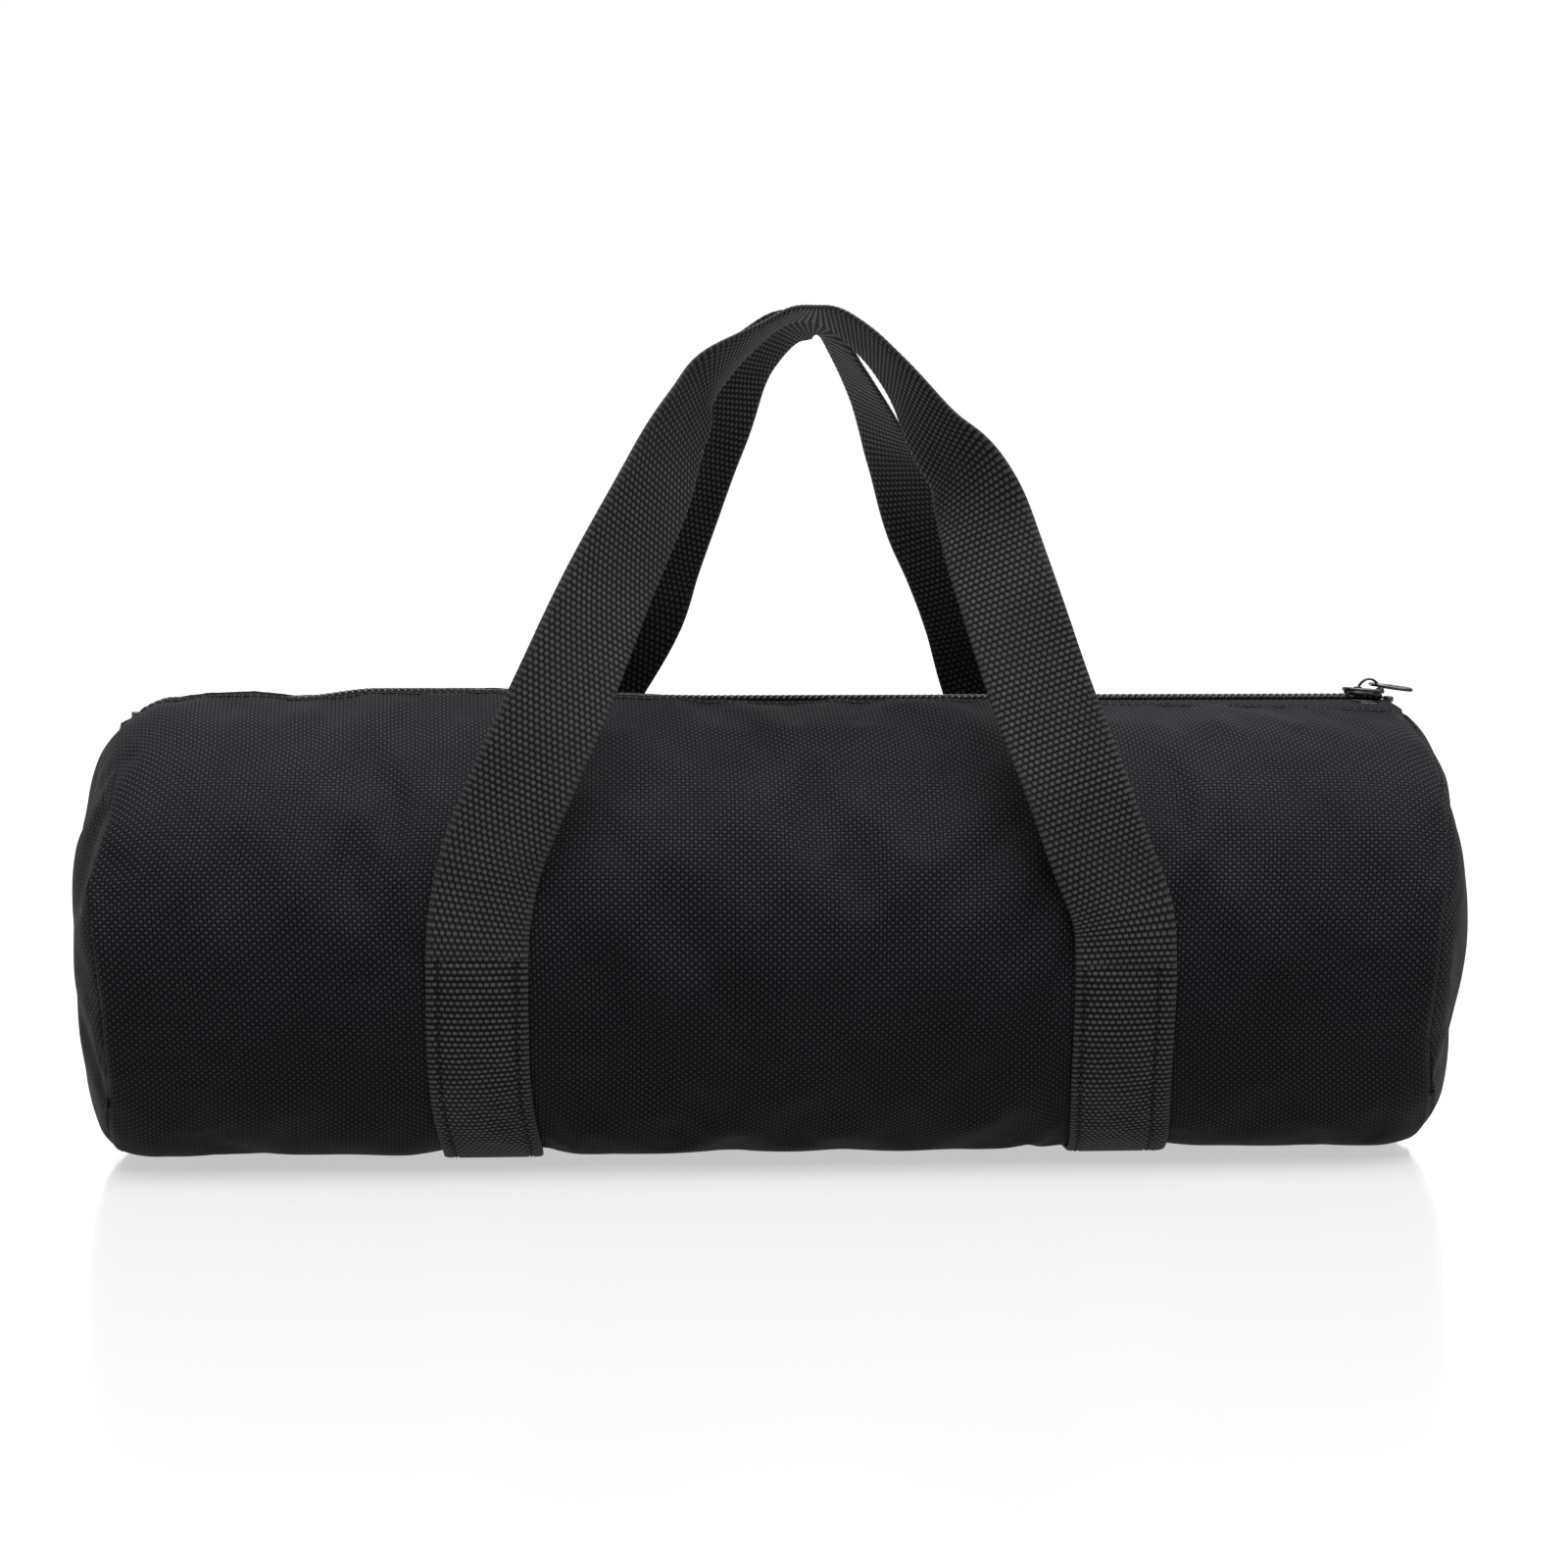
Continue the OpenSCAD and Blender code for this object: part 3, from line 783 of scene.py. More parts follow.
def webbing_strip(name, middle, across, face, arc, swell=None, seed=1):
    """One strip of webbing along the points middle, with unit vectors across it and out of its face.

    swell(s, t) is an extra height of the outer face, such as the grooves of the thread rows."""
    cols = COLUMNS * STEPS_PER_COLUMN + 1
    t = np.linspace(-WEB_WIDTH / 2, WEB_WIDTH / 2, cols)
    s_grid, t_grid = np.meshgrid(arc, t, indexing="ij")
    round_edge = np.sqrt(np.clip(1 - (np.abs(t_grid) / (WEB_WIDTH / 2 + 0.15 * MM)) ** 14, 0, 1))
    half = (WEB_THICK / 2 - RELIEF * 0.7) * round_edge
    weave = [woven_relief(s_grid, t_grid, seed), woven_relief(s_grid + PICK / 2, t_grid, seed + 1)[:, ::-1]]
    outer = half + weave[0] * round_edge
    inner = half + weave[1][:, ::-1] * round_edge
    if swell is not None:
        outer = outer + swell(s_grid, t_grid)
    base = middle[:, None] + across[:, None] * t_grid[..., None]
    top = base + face[:, None] * outer[..., None]
    low = base - face[:, None] * inner[..., None]
    uv_top = np.stack([s_grid, t_grid], -1)
    uv_low = np.stack([s_grid, t_grid[:, ::-1] + 2 * WEB_WIDTH], -1)
    uv = np.concatenate([uv_top, uv_low, uv_low[:, -1:]], axis=1)
    strip = closed_strip(name, top, low, uv)
    # The webbing material turns this height into painted shade in the grooves, as well as into roughness.
    relief = strip.data.attributes.new("relief", "FLOAT", "POINT")
    relief.data.foreach_set("value", (np.concatenate(weave, axis=1) / RELIEF).astype(np.float32).ravel())
    return strip


def strap_route(side, step):
    """The sewn strap's middle line, from the front cross row down, under the bag and up to the rear one."""
    radius = BAG_R + WEB_THICK / 2
    start = math.asin((AXIS_Z - STRAP_FOOT[side]) / radius)
    end = math.asin((AXIS_Z - WEB_THICK / 2) / radius)
    angles = np.linspace(start, end, 60)
    front = np.stack([-radius * np.cos(angles), AXIS_Z - radius * np.sin(angles)], 1)
    flat = np.stack([np.linspace(front[-1, 0], -front[-1, 0], 22)[1:-1], np.full(20, front[-1, 1])], 1)
    section = np.concatenate([front, flat, front[::-1] * [-1, 1]])
    path = np.column_stack([strap_x(side, section[:, 0]), section])
    return resample(path, step)


def side_normals(path):
    """Unit vectors across the strip and into the bag, for a route that runs round the bag."""
    along = normalised(np.gradient(path, axis=0))
    level = np.tile([1.0, 0.0, 0.0], (len(path), 1))
    inward = normalised(np.cross(level, along))
    return np.cross(along, inward), inward


ROW_INSETS = {"left": (3.6 * MM, 3.6 * MM), "right": (2.7 * MM, 5.4 * MM)}
CROSS_ROW_DROP = 1.6 * MM


def sewn_swell(side, length):
    """Height that stitching gives a sewn strap: grooves along the rows, and webbing puffed between them."""
    low_t = -WEB_WIDTH / 2 + ROW_INSETS[side][0]
    high_t = WEB_WIDTH / 2 - ROW_INSETS[side][1]

    def swell(s, t):
        groove = sum(bell(t - row, 0.75 * MM) for row in (low_t, high_t))
        ends = sum(bell(s - row, 0.75 * MM) for row in (CROSS_ROW_DROP, length - CROSS_ROW_DROP))
        between = np.clip((t - low_t) * (high_t - t), 0, None) / ((high_t - low_t) / 2) ** 2
        off_floor = smooth_step(np.abs(s - length / 2), 26 * MM, 50 * MM)
        quilt = 1 + 0.35 * waves(s * 260, t * 120, 5)
        sewn = 0.45 * MM * np.maximum(groove, ends * (between > 0))
        return off_floor * (0.75 * MM * between * quilt) - sewn
    return swell


def build_strap(side):
    path, arc = strap_route(side, PICK / STEPS_PER_PICK)
    across, face = side_normals(path)
    swell = sewn_swell(side, arc[-1])
    strap = webbing_strip("sewn_strap_" + side, path, across, -face, arc, swell, seed=3)
    place_piece(strap, "webbing", "bag", "strap_" + side)
    build_strap_thread(side, path, across, -face, arc)


STITCH_PITCH = 3.1 * MM
STITCH_R = 0.27 * MM


def stitch_path(a, b, up, rise):
    """A stitch's thread from hole a to hole b, arched a little over the cloth."""
    t = np.linspace(0, 1, 7)[:, None]
    bow = np.sin(math.pi * t) ** 0.5
    return a + (b - a) * t + up * (rise * bow - STITCH_R * 1.6 * (1 - bow))


def row_of_stitches(batch, places, ups, pitch, rise):
    """Stitches along a row of closely spaced places on a surface, with the surface's normals."""
    length = np.concatenate([[0], np.cumsum(np.linalg.norm(np.diff(places, axis=0), axis=1))])
    count = max(1, int(length[-1] / pitch))
    for i in range(count):
        at = [np.array([np.interp(length[-1] * (i + f) / count, length, column[:, k]) for k in range(3)])
              for column in (places, ups) for f in (0.08, 0.92)]
        batch.add_tube(stitch_path(at[0], at[1], normalised(at[2] + at[3]), rise), STITCH_R, 6)


def build_strap_thread(side, path, across, face, arc):
    batch = Batch()
    depth = WEB_THICK / 2 - 0.15 * MM
    rows = [-WEB_WIDTH / 2 + ROW_INSETS[side][0], WEB_WIDTH / 2 - ROW_INSETS[side][1]]
    inside = (arc > CROSS_ROW_DROP) & (arc < arc[-1] - CROSS_ROW_DROP)
    for t in rows:
        places = (path + across * t + face * depth)[inside]
        row_of_stitches(batch, places, face[inside], STITCH_PITCH, 0.1 * MM)
    for s in (CROSS_ROW_DROP, arc[-1] - CROSS_ROW_DROP):
        i = int(np.argmin(np.abs(arc - s)))
        t = np.linspace(rows[0], rows[1], 12)[:, None]
        places = path[i] + across[i] * t + face[i] * depth
        row_of_stitches(batch, places, np.tile(face[i], (12, 1)), STITCH_PITCH, 0.1 * MM)
    place_piece(batch.build("strap_thread_" + side), "thread", "bag", "strap_stitching_" + side)


# Each row of a handle's route is x, y (away from the bag's axis) and z in millimetres, and the webbing's
# twist in degrees, from facing front (0) to lying flat with its inner edge at the back (90). The CAD model
# has the same rows.
FRONT_ROUTE = [(-85, 73, 97, 0), (-74.5, 74, 122, 2), (-64, 71, 145, 12), (-51.5, 62, 173, 26),
               (-38, 51, 200, 38), (-31, 43.5, 215, 48), (-25, 37, 226.5, 58), (-21, 33, 234, 63),
               (-12.5, 26.5, 242, 75), (-4.5, 22, 248.5, 82), (5, 19, 255, 85), (13, 18.5, 255.5, 85),
               (18.5, 19.5, 253.5, 82.5), (23.5, 21.5, 250, 80.5), (29.5, 24.5, 244.5, 79.5),
               (35, 28, 237.5, 77.5), (39.5, 31.5, 230.5, 72.5), (44.5, 35.5, 221.5, 63.5),
               (48.5, 38.5, 215.5, 56), (52.5, 41, 211, 49), (55.5, 43.5, 206, 41), (59.5, 47.5, 196.5, 30),
               (62.5, 52, 185.5, 22), (67, 58.5, 170, 16), (76, 67, 141, 6), (84, 72, 119, 0),
               (92, 73, 96.5, 0)]
REAR_ROUTE = [(-78.5, 73, 94, 0), (-68.5, 74, 111, 0), (-58, 70, 130, 2), (-39.5, 57, 161, 10),
              (-33, 50.5, 179.5, 18), (-27, 45.5, 195, 25), (-20, 40, 212, 34), (-13.5, 35, 225.5, 43),
              (-8, 30, 239, 51), (-2.5, 26, 246.5, 59), (5.5, 22, 253, 68), (10.5, 20, 254, 75),
              (16, 19, 254, 79), (20, 19.3, 252, 82.5), (23.5, 21.5, 246.5, 84), (29, 26, 238, 81.5),
              (34, 30.5, 229.5, 77), (38, 34.5, 221.5, 71.5), (41.5, 38, 214.5, 65.5), (45, 40.5, 208.5, 57),
              (53, 47, 191.5, 40), (60.5, 51.5, 178.5, 31), (68.5, 57, 161, 20),
              (75, 67, 142, 5), (83, 72, 121, 0), (91, 73, 98, 0)]


def softened(rows, sigma):
    """Evens out the rows of a path with a bell-shaped average, keeping its ends."""
    reach = int(3 * sigma)
    kernel = np.exp(-0.5 * (np.arange(-reach, reach + 1) / sigma) ** 2)
    before, after = 2 * rows[0] - rows[reach:0:-1], 2 * rows[-1] - rows[-2:-reach - 2:-1]
    padded = np.concatenate([before, rows, after])
    return np.stack([np.convolve(column, kernel / kernel.sum(), "valid") for column in padded.T], 1)


FOOT_LAP = 1.3  # millimetres that a handle's ends reach down into the tops of the sewn straps
ROUTE_SOFTNESS = 5  # spread of the average along a handle's route, in steps of the route


def handle_route(sign):
    """Rows of a handle's middle line in metres, from its left foot on the sewn strap to its right one."""
    near = (BAG_R + WEB_THICK / 2) / MM
    foot_z = {side: STRAP_FOOT[side] / MM for side in STRAP_X}
    foot_y = {side: math.sqrt(near ** 2 - (foot_z[side] - AXIS_Z / MM) ** 2) for side in STRAP_X}
    left, right = (strap_x(side, sign * foot_y[side] * MM) / MM for side in ("left", "right"))
    start = [(left, foot_y["left"], foot_z["left"] - FOOT_LAP, 0), (left + 0.8, near + 0.5, 78, 0)]
    end = [(right - 1.2, near + 0.5, 78, 0), (right, foot_y["right"], foot_z["right"] - FOOT_LAP, 0)]
    rows = np.array(start + (FRONT_ROUTE if sign < 0 else REAR_ROUTE) + end, float)
    rows[:, 1] *= sign
    rows[:, :3] *= MM
    return rows


def handle_frame(path):
    """Unit vectors across the webbing, towards its inner edge, and out of its face along a handle."""
    along = normalised(np.gradient(path[:, :3], axis=0))
    depth = normalised(np.array([0.0, 1.0, 0.0]) - along[:, 1:2] * along)
    inward = np.cross(depth, along)
    turn = np.radians(path[:, 3:4])
    across = np.cos(turn) * inward + np.sin(turn) * depth
    return across, np.cross(along, across)


def build_handle(side, sign):
    step = PICK / STEPS_PER_PICK
    rows, _ = resample(spline(handle_route(sign), 12), step)
    path, arc = resample(softened(rows, ROUTE_SOFTNESS), step)
    across, face = handle_frame(path)
    handle = webbing_strip("carry_handle_" + side, path[:, :3], across, face, arc, seed=20 + sign)
    place_piece(handle, "webbing", None, "handle_" + side)
    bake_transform(handle)


# -------- Seams inside the ends --------

def ring_frame(side, count):
    """Places of an end seam, and unit vectors that lead from it into the bag's middle line."""
    y, z, reach = seam_ring(side, even_angles(count))
    sign = -1 if side == "left" else 1
    places = np.stack([sign * reach, y, z], -1)
    inward = normalised(np.stack([np.zeros(count), -y, AXIS_Z - z], -1))
    return places, inward, sign


def build_binding(side):
    """Tape folded over the turned-in edges of an end seam, from the seam itself to past the raw edges."""
    count = 240
    places, inward, sign = ring_frame(side, count)
    depth = np.array([0.8, 3.0, 6.0, 8.4, 9.0, 8.4, 6.0, 3.0, 0.8, 3.0, 6.0, 7.9, 7.9, 6.0, 3.0]) * MM
    width = np.array([-0.6, -1.5, -1.8, -1.7, 0.0, 1.7, 1.8, 1.5, 0.6, 0.8, 1.1, 1.0, -1.0, -1.1, -0.8]) * MM
    ripple = 0.35 * MM * waves(even_angles(count) * 14, 0, 61, 5)
    points = places[:, None] + inward[:, None] * depth[None, :, None]
    points[..., 0] += width + ripple[:, None] * (depth > 4 * MM) - sign * 2.2 * MM
    arc = np.linspace(0, 2 * math.pi * BAG_R, count + 1)
    rows = np.concatenate([points, points[:1]])
    uv = np.stack(np.meshgrid(arc, np.linspace(0, 20 * MM, depth.size + 1), indexing="ij"), -1)
    binding = grid_object("seam_tape_" + side, rows, uv, close_cols=True)
    weld(binding)
    place_piece(binding, "binding_tape", "bag", "seam_binding_" + side)


def build_end_thread(side):
    """Stitches of an end seam, inside the bag on the binding's inner face."""
    places, inward, sign = ring_frame(side, 240)
    axial = np.array([-sign, 0.0, 0.0])
    row = places + inward * 3.0 * MM + axial * 3.9 * MM
    row = np.concatenate([row, row[:1]])
    batch = Batch()
    row_of_stitches(batch, row, np.tile(axial, (len(row), 1)), STITCH_PITCH, 0.12 * MM)
    place_piece(batch.build("end_thread_" + side), "thread", "bag", "end_seam_thread_" + side)


# -------- Zip --------

ZIP_END = 194.0 * MM
TAPE_END = 198.0 * MM
COIL_START, COIL_STOP = -191.6 * MM, 191.6 * MM
COIL_PITCH = 2.0 * MM
COIL_WIRE = 0.40 * MM
COIL_MIDDLE_Z = COIL_TOP - 0.8 * MM
COIL_FACETS = 7
COIL_STEPS = 16


def zip_line_z(x):
    """How far the zip lies over its CAD height: it crests left of the middle and drops at both ends."""
    left = 8.0 * MM * smooth_step(-x, 182 * MM, 203 * MM)
    right = 4.8 * MM * smooth_step(x, 190 * MM, 201 * MM)
    crest = 2.5 * MM * smooth_step(x, -146 * MM, -120 * MM) * (1 - smooth_step(x, -110 * MM, -15 * MM))
    return crest - left - right


def coil_wire_path(sign):
    """The bent filament of one coil: flattened loops whose heads reach just past the middle."""
    turns = int((COIL_STOP - COIL_START) / COIL_PITCH)
    turn = np.arange(turns * COIL_STEPS) / COIL_STEPS
    angle = turn * 2 * math.pi
    across, up = np.cos(angle), np.sin(angle)
    y = 1.42 * MM + 1.82 * MM * bent(across, 0.75)
    z = 0.40 * MM * bent(up, 0.55)
    x = COIL_START + turn * COIL_PITCH + (0.5 * COIL_PITCH if sign > 0 else 0)
    x = x - 0.14 * COIL_PITCH * np.sin(angle * 2)
    head = bell(y + 0.4 * MM, 0.5 * MM)
    path = np.stack([x, sign * y, COIL_MIDDLE_Z + z + zip_line_z(x)], -1)
    return path, COIL_WIRE * (1 + 0.28 * head)


def build_coil(side, sign):
    path, radius = coil_wire_path(sign)
    batch = Batch()
    batch.add_tube(path, radius, COIL_FACETS)
    sewing_x = np.arange(path[0, 0], path[-1, 0], COIL_PITCH / 6)
    for y, low in ((1.5 * MM, 0.30 * MM), (2.25 * MM, 0.22 * MM)):
        dip = 0.5 + 0.5 * np.cos((sewing_x - path[0, 0]) / COIL_PITCH * 2 * math.pi)
        z = COIL_MIDDLE_Z + 0.80 * MM - low * dip + zip_line_z(sewing_x)
        batch.add_tube(np.stack([sewing_x, np.full(len(sewing_x), sign * y), z], -1), 0.13 * MM, 5)
    place_piece(batch.build("coil_" + side), "zip_coil", "bag", "zip_coil_" + side)


def surface_tree(obj):
    faces = [tuple(face.vertices) for face in obj.data.polygons]
    return BVHTree.FromPolygons([tuple(p) for p in mesh_points(obj)], faces)


def cloth_heights(tree, xs, y):
    """The cloth's outer height at each x of a row, found from above, with the gaps bridged."""
    hits = [tree.ray_cast(Vector((float(x), float(y), 200 * MM)), Vector((0, 0, -1)))[0] for x in xs]
    good = np.array([hit is not None for hit in hits])
    return np.interp(xs, xs[good], np.array([hit.z for hit in hits if hit is not None]))


def build_tape(side, sign, tree):
    """One zip tape: flat under its coil, then under the folded edge of the cloth."""
    xs = np.arange(-TAPE_END, TAPE_END + 0.1 * MM, 1.5 * MM)
    ys = np.array([0.62, 1.6, 2.6, 3.2, 4.0, 4.9, 5.7, 6.6, 7.8, 9.2, 10.8, 12.4, 13.2, 14.0]) * MM
    cloth = {y: cloth_heights(tree, xs, sign * max(y, 7.2 * MM)) for y in ys}
    middle = COIL_MIDDLE_Z - 0.85 * MM + zip_line_z(xs)
    rows = []
    for y in ys:
        under = cloth[y] - CLOTH - 0.15 * MM
        share = smooth_step(y, 3.0 * MM, 6.8 * MM)
        rows.append(np.minimum(middle, under + 10 * MM * (share < 1)) * (1 - share) + under * share)
    z = np.stack(rows, 1)
    rib = 0.06 * MM * np.sin(ys[None] / (1.1 * MM) * 2 * math.pi)
    grid_x, grid_y = np.meshgrid(xs, sign * ys, indexing="ij")
    top = np.stack([grid_x, grid_y, z + rib], -1)
    low = np.stack([grid_x, grid_y, z - 0.5 * MM], -1)
    reach = np.concatenate([ys, ys[::-1] + 30 * MM, [ys[0] + 30 * MM]])
    uv = np.stack(np.meshgrid(xs, reach, indexing="ij"), -1)
    tape = closed_strip("tape_" + side, top, low, uv)
    weld(tape)
    place_piece(tape, "zip_tape", "bag", "zip_tape_" + side)


def build_zip_stitches(tree):
    batch = Batch()
    xs = np.arange(-ZIP_END + 3 * MM, ZIP_END - 3 * MM, 1.0 * MM)
    for y in (-ZIP_ROW_Y, ZIP_ROW_Y):
        heights = cloth_heights(tree, xs, y)
        places = np.stack([xs, np.full(len(xs), y), heights + 0.1 * MM], -1)
        row_of_stitches(batch, places, np.tile([0.0, 0.0, 1.0], (len(xs), 1)), 2.6 * MM, 0.12 * MM)
    place_piece(batch.build("zip_thread"), "thread", "bag", "zip_stitching")


def slab(batch, outline, low, high, bevel):
    """A plate with rounded edges over a convex outline (n, 2)."""
    outline = np.asarray(outline, float)
    middle = outline.mean(0)
    size = np.linalg.norm(outline - middle, axis=1).max()
    steps = [(0, bevel), (bevel * 0.3, bevel * 0.3), (bevel, 0)]
    levels = [(low + step, inset) for step, inset in steps]
    levels += [(high - step, inset) for step, inset in steps[::-1]]
    batch.add_rings(np.stack([
        np.column_stack([middle + (outline - middle) * (1 - inset / size), np.full(len(outline), z)])
        for z, inset in levels]))


def oblong(length, width):
    return np.array([(-length, -width), (length, -width), (length, width), (-length, width)]) / 2


def rounded(outline, passes):
    """Cuts the corners of a closed outline a few times, which rounds them."""
    p = np.asarray(outline, float)
    for _ in range(passes):
        q = np.roll(p, -1, 0)
        p = np.stack([0.75 * p + 0.25 * q, 0.25 * p + 0.75 * q], 1).reshape(-1, 2)
    return p


def bar_path(batch, path, width_vector, half_width, half_thick, sides=12):
    """A strip of rounded oblong section along a path, such as a bridge bent from sheet."""
    along = normalised(np.gradient(path, axis=0))
    width = np.tile(np.asarray(width_vector, float), (len(path), 1))
    up = normalised(np.cross(along, width))
    angle = even_angles(sides)
    out = half_width * bent(np.cos(angle), 0.6)[None, :, None]
    rise = half_thick * bent(np.sin(angle), 0.8)[None, :, None]
    batch.add_rings(path[:, None] + width[:, None] * out + up[:, None] * rise)


SLIDER_LENGTH = 13.0 * MM
PLATE_LOW, PLATE_HIGH = slider_low[2] + 4.0 * MM, slider_low[2] + 5.2 * MM
BASE_HIGH = slider_low[2] + 1.0 * MM
SLIDER_LEAN = math.radians(4.0)


def lean(obj, angle):
    """Turns a piece about the pull's pivot, its right end down."""
    turn = np.array(Matrix.Rotation(angle, 3, "Y"))
    set_points(obj, (mesh_points(obj) - PULL_PIVOT) @ turn.T + PULL_PIVOT)


def build_slider():
    """The zip's slider: two plates with turned-in edges, a post between them and a bridge over the top."""
    left, right = SLIDER_X - SLIDER_LENGTH / 2, SLIDER_X + SLIDER_LENGTH / 2
    outline = np.array([(0, -2.6), (0, 2.6), (3.6, 4.2), (8.5, 4.5), (11.6, 4.5), (13, 3.2), (13, -3.2),
                        (11.6, -4.5), (8.5, -4.5), (3.6, -4.2)]) * MM + [left, 0]
    outline = rounded(outline[::-1], 2)
    batch = Batch()
    slab(batch, outline, PLATE_LOW, PLATE_HIGH, 0.4 * MM)
    slab(batch, outline, slider_low[2], BASE_HIGH, 0.35 * MM)
    for sign in (-1, 1):
        lip = np.array([(left + 1.2 * MM, sign * 2.9 * MM), (left + 3.8 * MM, sign * 3.9 * MM),
                        (left + 8.5 * MM, sign * 4.15 * MM), (right - 1.6 * MM, sign * 4.1 * MM)])
        for z, half in ((PLATE_LOW - 0.35 * MM, 0.5 * MM), (BASE_HIGH + 0.2 * MM, 0.35 * MM)):
            path = np.column_stack([lip, np.full(len(lip), z)])
            bar_path(batch, path, (0, 1, 0), 0.32 * MM, half)
    post = rounded(np.array([(-1.9, 0), (0, -1.0), (1.9, 0), (0, 1.0)]) * MM + [right - 2.6 * MM, 0], 2)
    slab(batch, post, BASE_HIGH - 0.2 * MM, PLATE_LOW + 0.2 * MM, 0.1 * MM)
    rise = slider_high[2] - PLATE_HIGH - 0.5 * MM
    t = np.linspace(0, 1, 22)
    x = SLIDER_X - 1.6 * MM + 7.0 * MM * t
    z = PLATE_HIGH - 0.25 * MM + (rise + 0.25 * MM) * np.clip(np.sin(math.pi * t), 0, 1) ** 0.62
    bar_path(batch, np.column_stack([x, np.zeros(22), z]), (0, 1, 0), 1.05 * MM, 0.42 * MM)
    for foot_x in (x[0], x[-1]):
        foot = rounded(oblong(2.4, 3.0) * MM + [foot_x, 0], 2)
        slab(batch, foot, PLATE_HIGH - 0.1 * MM, PLATE_HIGH + 0.4 * MM, 0.15 * MM)
    slider = batch.build("slider")
    lean(slider, SLIDER_LEAN)
    place_piece(slider, "slider_metal", "slider", "zip_slider")


PULL_LENGTH, PULL_WIDTH = 14.0, 6.4  # millimetres
PULL_DROOP = math.radians(8.0)
PULL_ROLL = math.radians(5.0)


def build_pull():
    """The slider's pull: a flat cast frame with a window and a solid tip, hung by its crossbar."""
    half, end = PULL_WIDTH / 2, PULL_LENGTH
    corners = rounded(np.array([(0, 0.6 - half), (1.2, -half), (end - 2.5, -half), (end, -1.9), (end, 1.9),
                                (end - 2.5, half), (1.2, half), (0, half - 0.6)]) * MM, 2)
    middle = corners.mean(0)
    rim = np.column_stack([middle + (corners - middle) * 0.80, np.zeros(len(corners))])
    out = np.cross(normalised(np.roll(rim, -1, 0) - np.roll(rim, 1, 0)), [0.0, 0.0, 1.0])
    angle = even_angles(12)
    rings = rim[:, None] + out[:, None] * (0.72 * MM * bent(np.cos(angle), 0.7))[None, :, None]
    rings[..., 2] += 0.58 * MM * bent(np.sin(angle), 0.7)
    rings = np.concatenate([rings, rings[:1]])
    batch = Batch()
    batch.add(rings, grid_quads(len(rings), 12, True)[0].tolist())
    tip = rounded(np.array([(end - 4.6, -2.4), (end - 1.8, -2.2), (end - 1.1, -1.6), (end - 1.1, 1.6),
                            (end - 1.8, 2.2), (end - 4.6, 2.4)]) * MM, 1)
    slab(batch, tip, -0.46 * MM, 0.46 * MM, 0.15 * MM)
    bar_y = np.linspace(0.5 - half, half - 0.5, 9) * MM
    batch.add_tube(np.column_stack([np.full(9, 0.25 * MM), bar_y, np.zeros(9)]), 0.62 * MM, 12)
    pull = batch.build("pull_tab")
    weld(pull)
    x, y, z = mesh_points(pull).T
    roll = PULL_ROLL * smooth_step(x, 0.5 * MM, 6 * MM)
    rolled = [x, y * np.cos(roll) - z * np.sin(roll), y * np.sin(roll) + z * np.cos(roll)]
    set_points(pull, np.column_stack(rolled) + PULL_PIVOT)
    lean(pull, PULL_DROOP)
    place_piece(pull, "pull_metal", "pull", "zip_pull")


def build_stops():
    """Crimped metal stops that close the ends of the coils."""
    stops = {"bottom_stop": ("zip_bottom_stop", [(-193.4, 0.0, 2.8, 5.0)]),
             "top_stops": ("zip_top_stops", [(192.9, -1.8, 2.4, 2.6), (192.9, 1.8, 2.4, 2.6)])}
    for name, (node, places) in stops.items():
        batch = Batch()
        for x, y, length, width in places:
            z = COIL_MIDDLE_Z + float(zip_line_z(np.array(x * MM)))
            stop = rounded((oblong(length, width) + [x, y]) * MM, 2)
            slab(batch, stop, z - 0.95 * MM, z + 0.85 * MM, 0.35 * MM)
        place_piece(batch.build(name), "zip_stop", "bag", node)


# -------- Pouch of sand inside --------

POUCH_R = 63.0 * MM
POUCH_END = 186.0 * MM
POUCH_TOP_Z = AXIS_Z + 62.0 * MM
SAND_TOP_Z = 122.0 * MM
CLOSURE_THICK = 0.9 * MM


POUCH_LUMPS = 0.9 * MM


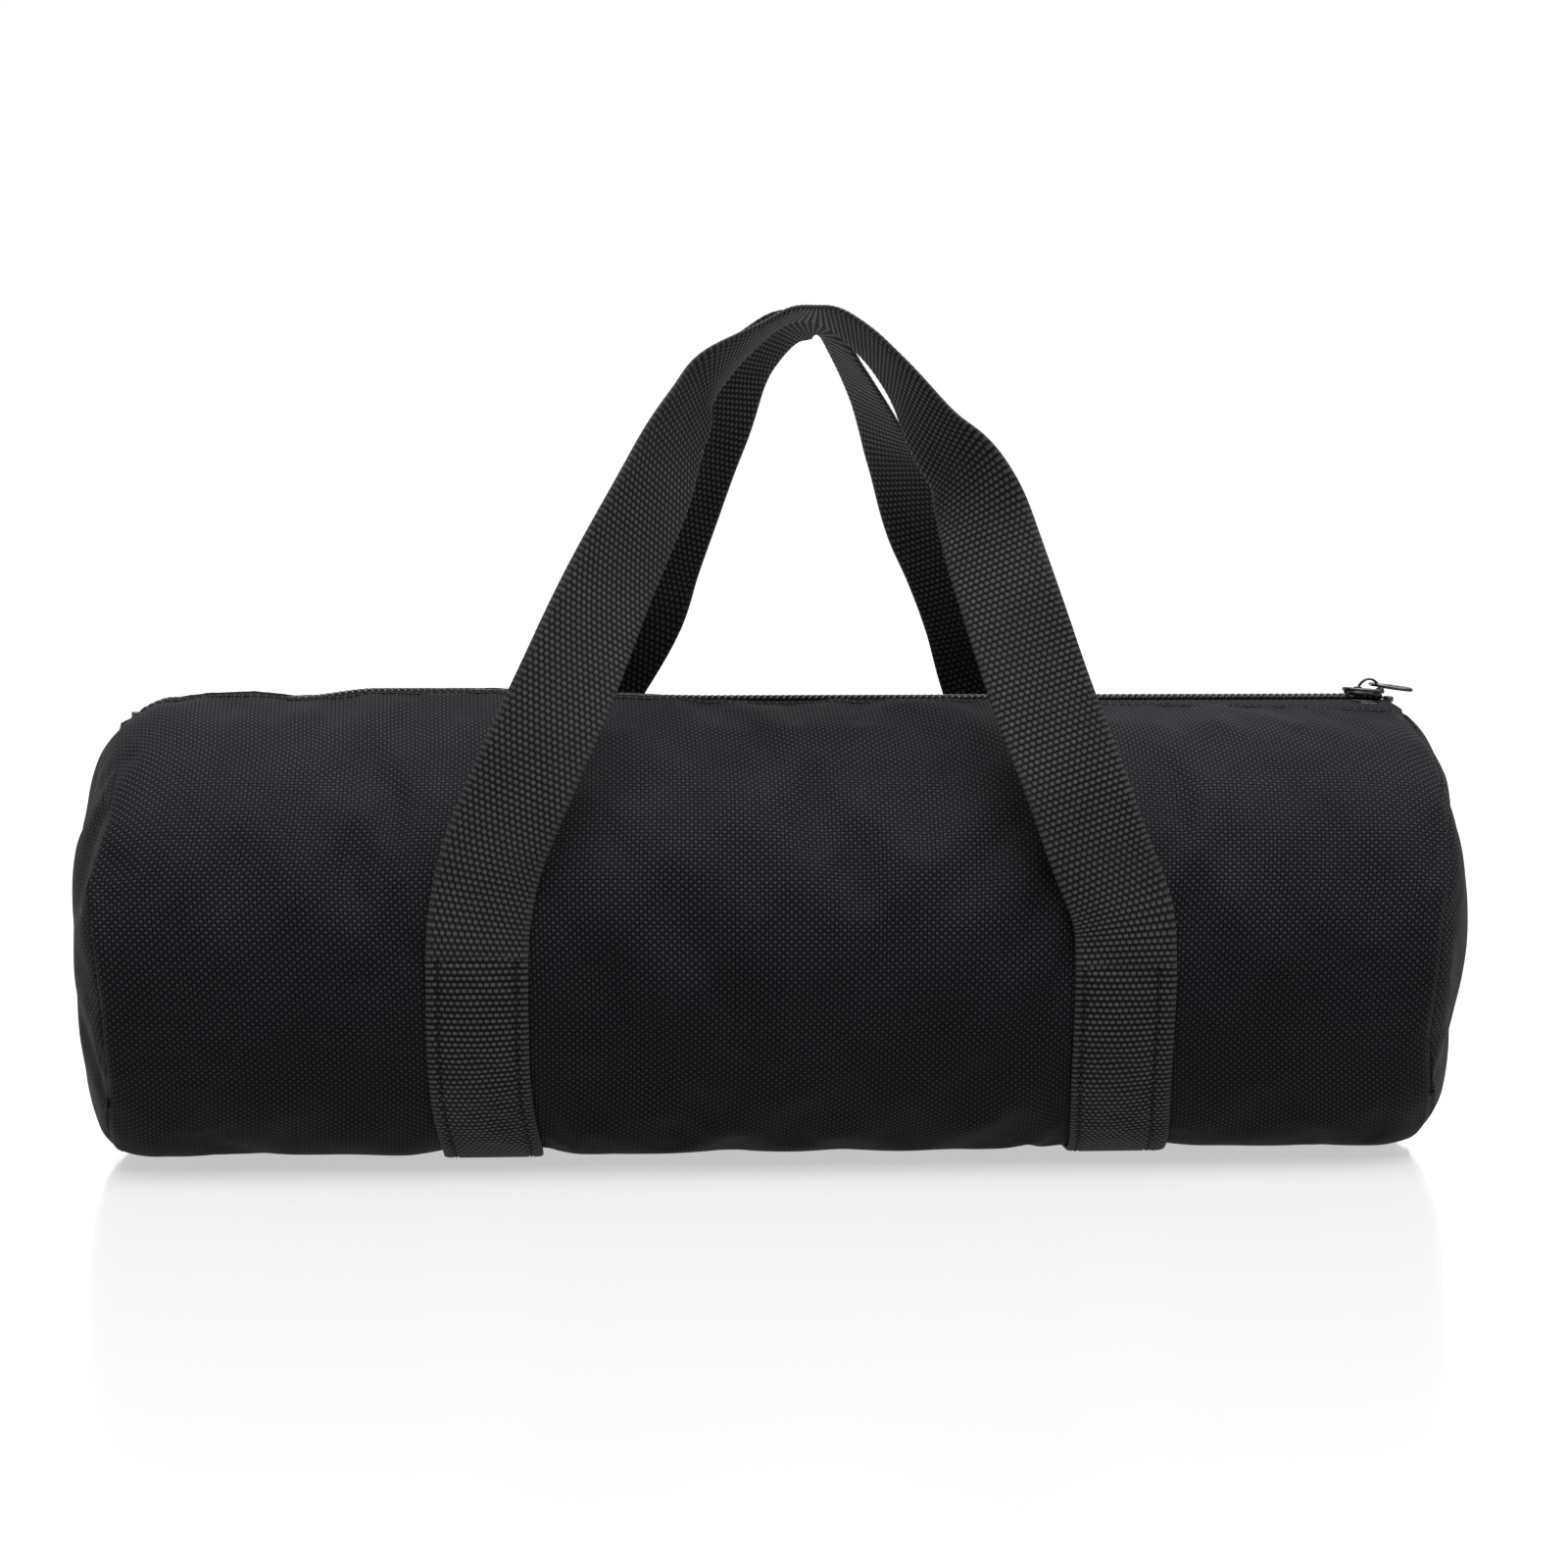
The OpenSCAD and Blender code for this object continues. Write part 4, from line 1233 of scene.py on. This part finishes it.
def capsule(name, radius, end, seed, top_z, rows=110, cols=96):
    """A closed tube with rounded, gathered ends, a flat bed below and a flat top."""
    x = end * np.sin(np.linspace(-1, 1, rows) * math.pi / 2)
    narrow = np.clip(1 - np.abs(x / end) ** 14, 0.0004, 1) ** 0.5
    x_grid, angle_grid = np.meshgrid(x, even_angles(cols), indexing="ij")
    wave = waves(x_grid * 35, angle_grid * 2, seed, 8, 0.6, 2.4)
    fine = waves(x_grid * 160, angle_grid * 5, seed + 1, 8)
    gather = waves(angle_grid * 16, angle_grid * 9, seed + 2, 6) * (1 - narrow[:, None] ** 2)
    r = (radius + POUCH_LUMPS * (wave + 0.35 * fine - 0.8)) * narrow[:, None] + 1.2 * MM * gather
    y, z = bag_section(angle_grid, np.maximum(r, 0.05 * MM))
    z = np.maximum(z, 4.2 * MM + POUCH_LUMPS * 0.2 * (1 + fine))
    z = np.minimum(z, top_z - POUCH_LUMPS * 0.15 * (1 + fine))
    round_uv = np.linspace(0, 2 * math.pi * radius, cols + 1)
    uv = np.stack(np.meshgrid(x, round_uv, indexing="ij"), -1)
    body = grid_object(name, np.stack([x_grid, y, z], -1), uv, close_cols=True, caps=True)
    face_outward(body, (0, 0, AXIS_Z))
    return body


def build_pouch():
    pouch = capsule("sand_pouch", POUCH_R, POUCH_END, 71, POUCH_TOP_Z)
    place_piece(pouch, "liner", "bag", "inner_pouch")
    sand = capsule("sand", POUCH_R - 2.2 * MM, POUCH_END - 4 * MM, 81, SAND_TOP_Z)
    place_piece(sand, "sand", "bag", "sand_fill")


def build_closure(kind, gap, seed):
    """One strip of the pouch's closure, lying a small gap over the pouch's top."""
    xs, ys = np.linspace(-150, 150, 240) * MM, np.linspace(-12.5, 12.5, 22) * MM
    x, y = np.meshgrid(xs, ys, indexing="ij")
    nap = 0.12 * MM * waves(x * 2600, y * 2900, seed, 8)
    sag = 0.25 * MM * waves(x * 40, y * 20, 90, 4)
    under = np.stack([x, y, POUCH_TOP_Z + gap + sag], -1)
    top = np.stack([x, y, POUCH_TOP_Z + gap + CLOSURE_THICK + sag + nap], -1)
    uv = np.stack(np.meshgrid(xs, np.arange(45) * MM, indexing="ij"), -1)
    strip = closed_strip("pouch_" + kind + "_tape", top, under, uv)
    weld(strip)
    place_piece(strip, kind + "_tape", "bag", "pouch_" + kind + "_strip")


# -------- Build --------

add_camera()
add_light()
add_floor()
build_pouch()
build_closure("loop", 0.3 * MM, 91)
build_closure("hook", 1.5 * MM, 92)
barrel = build_barrel()
cloth_tree = surface_tree(barrel)
for bag_side in ("left", "right"):
    build_end(bag_side)
    build_binding(bag_side)
    build_end_thread(bag_side)
    build_strap(bag_side)
for half, half_sign in (("front", -1), ("rear", 1)):
    build_coil(half, half_sign)
    build_tape(half, half_sign, cloth_tree)
build_zip_stitches(cloth_tree)
build_stops()
build_slider()
build_pull()
build_handle("front", -1)
build_handle("rear", 1)

SLOT_OF = {part["node"]: part["material_slot"] for part in frame["record"]["subparts"]}
for node_name, node_object in frame["nodes"].items():
    node_object.data.materials.clear()
    node_object.data.materials.append(MATERIALS[SLOT_OF[node_name]])
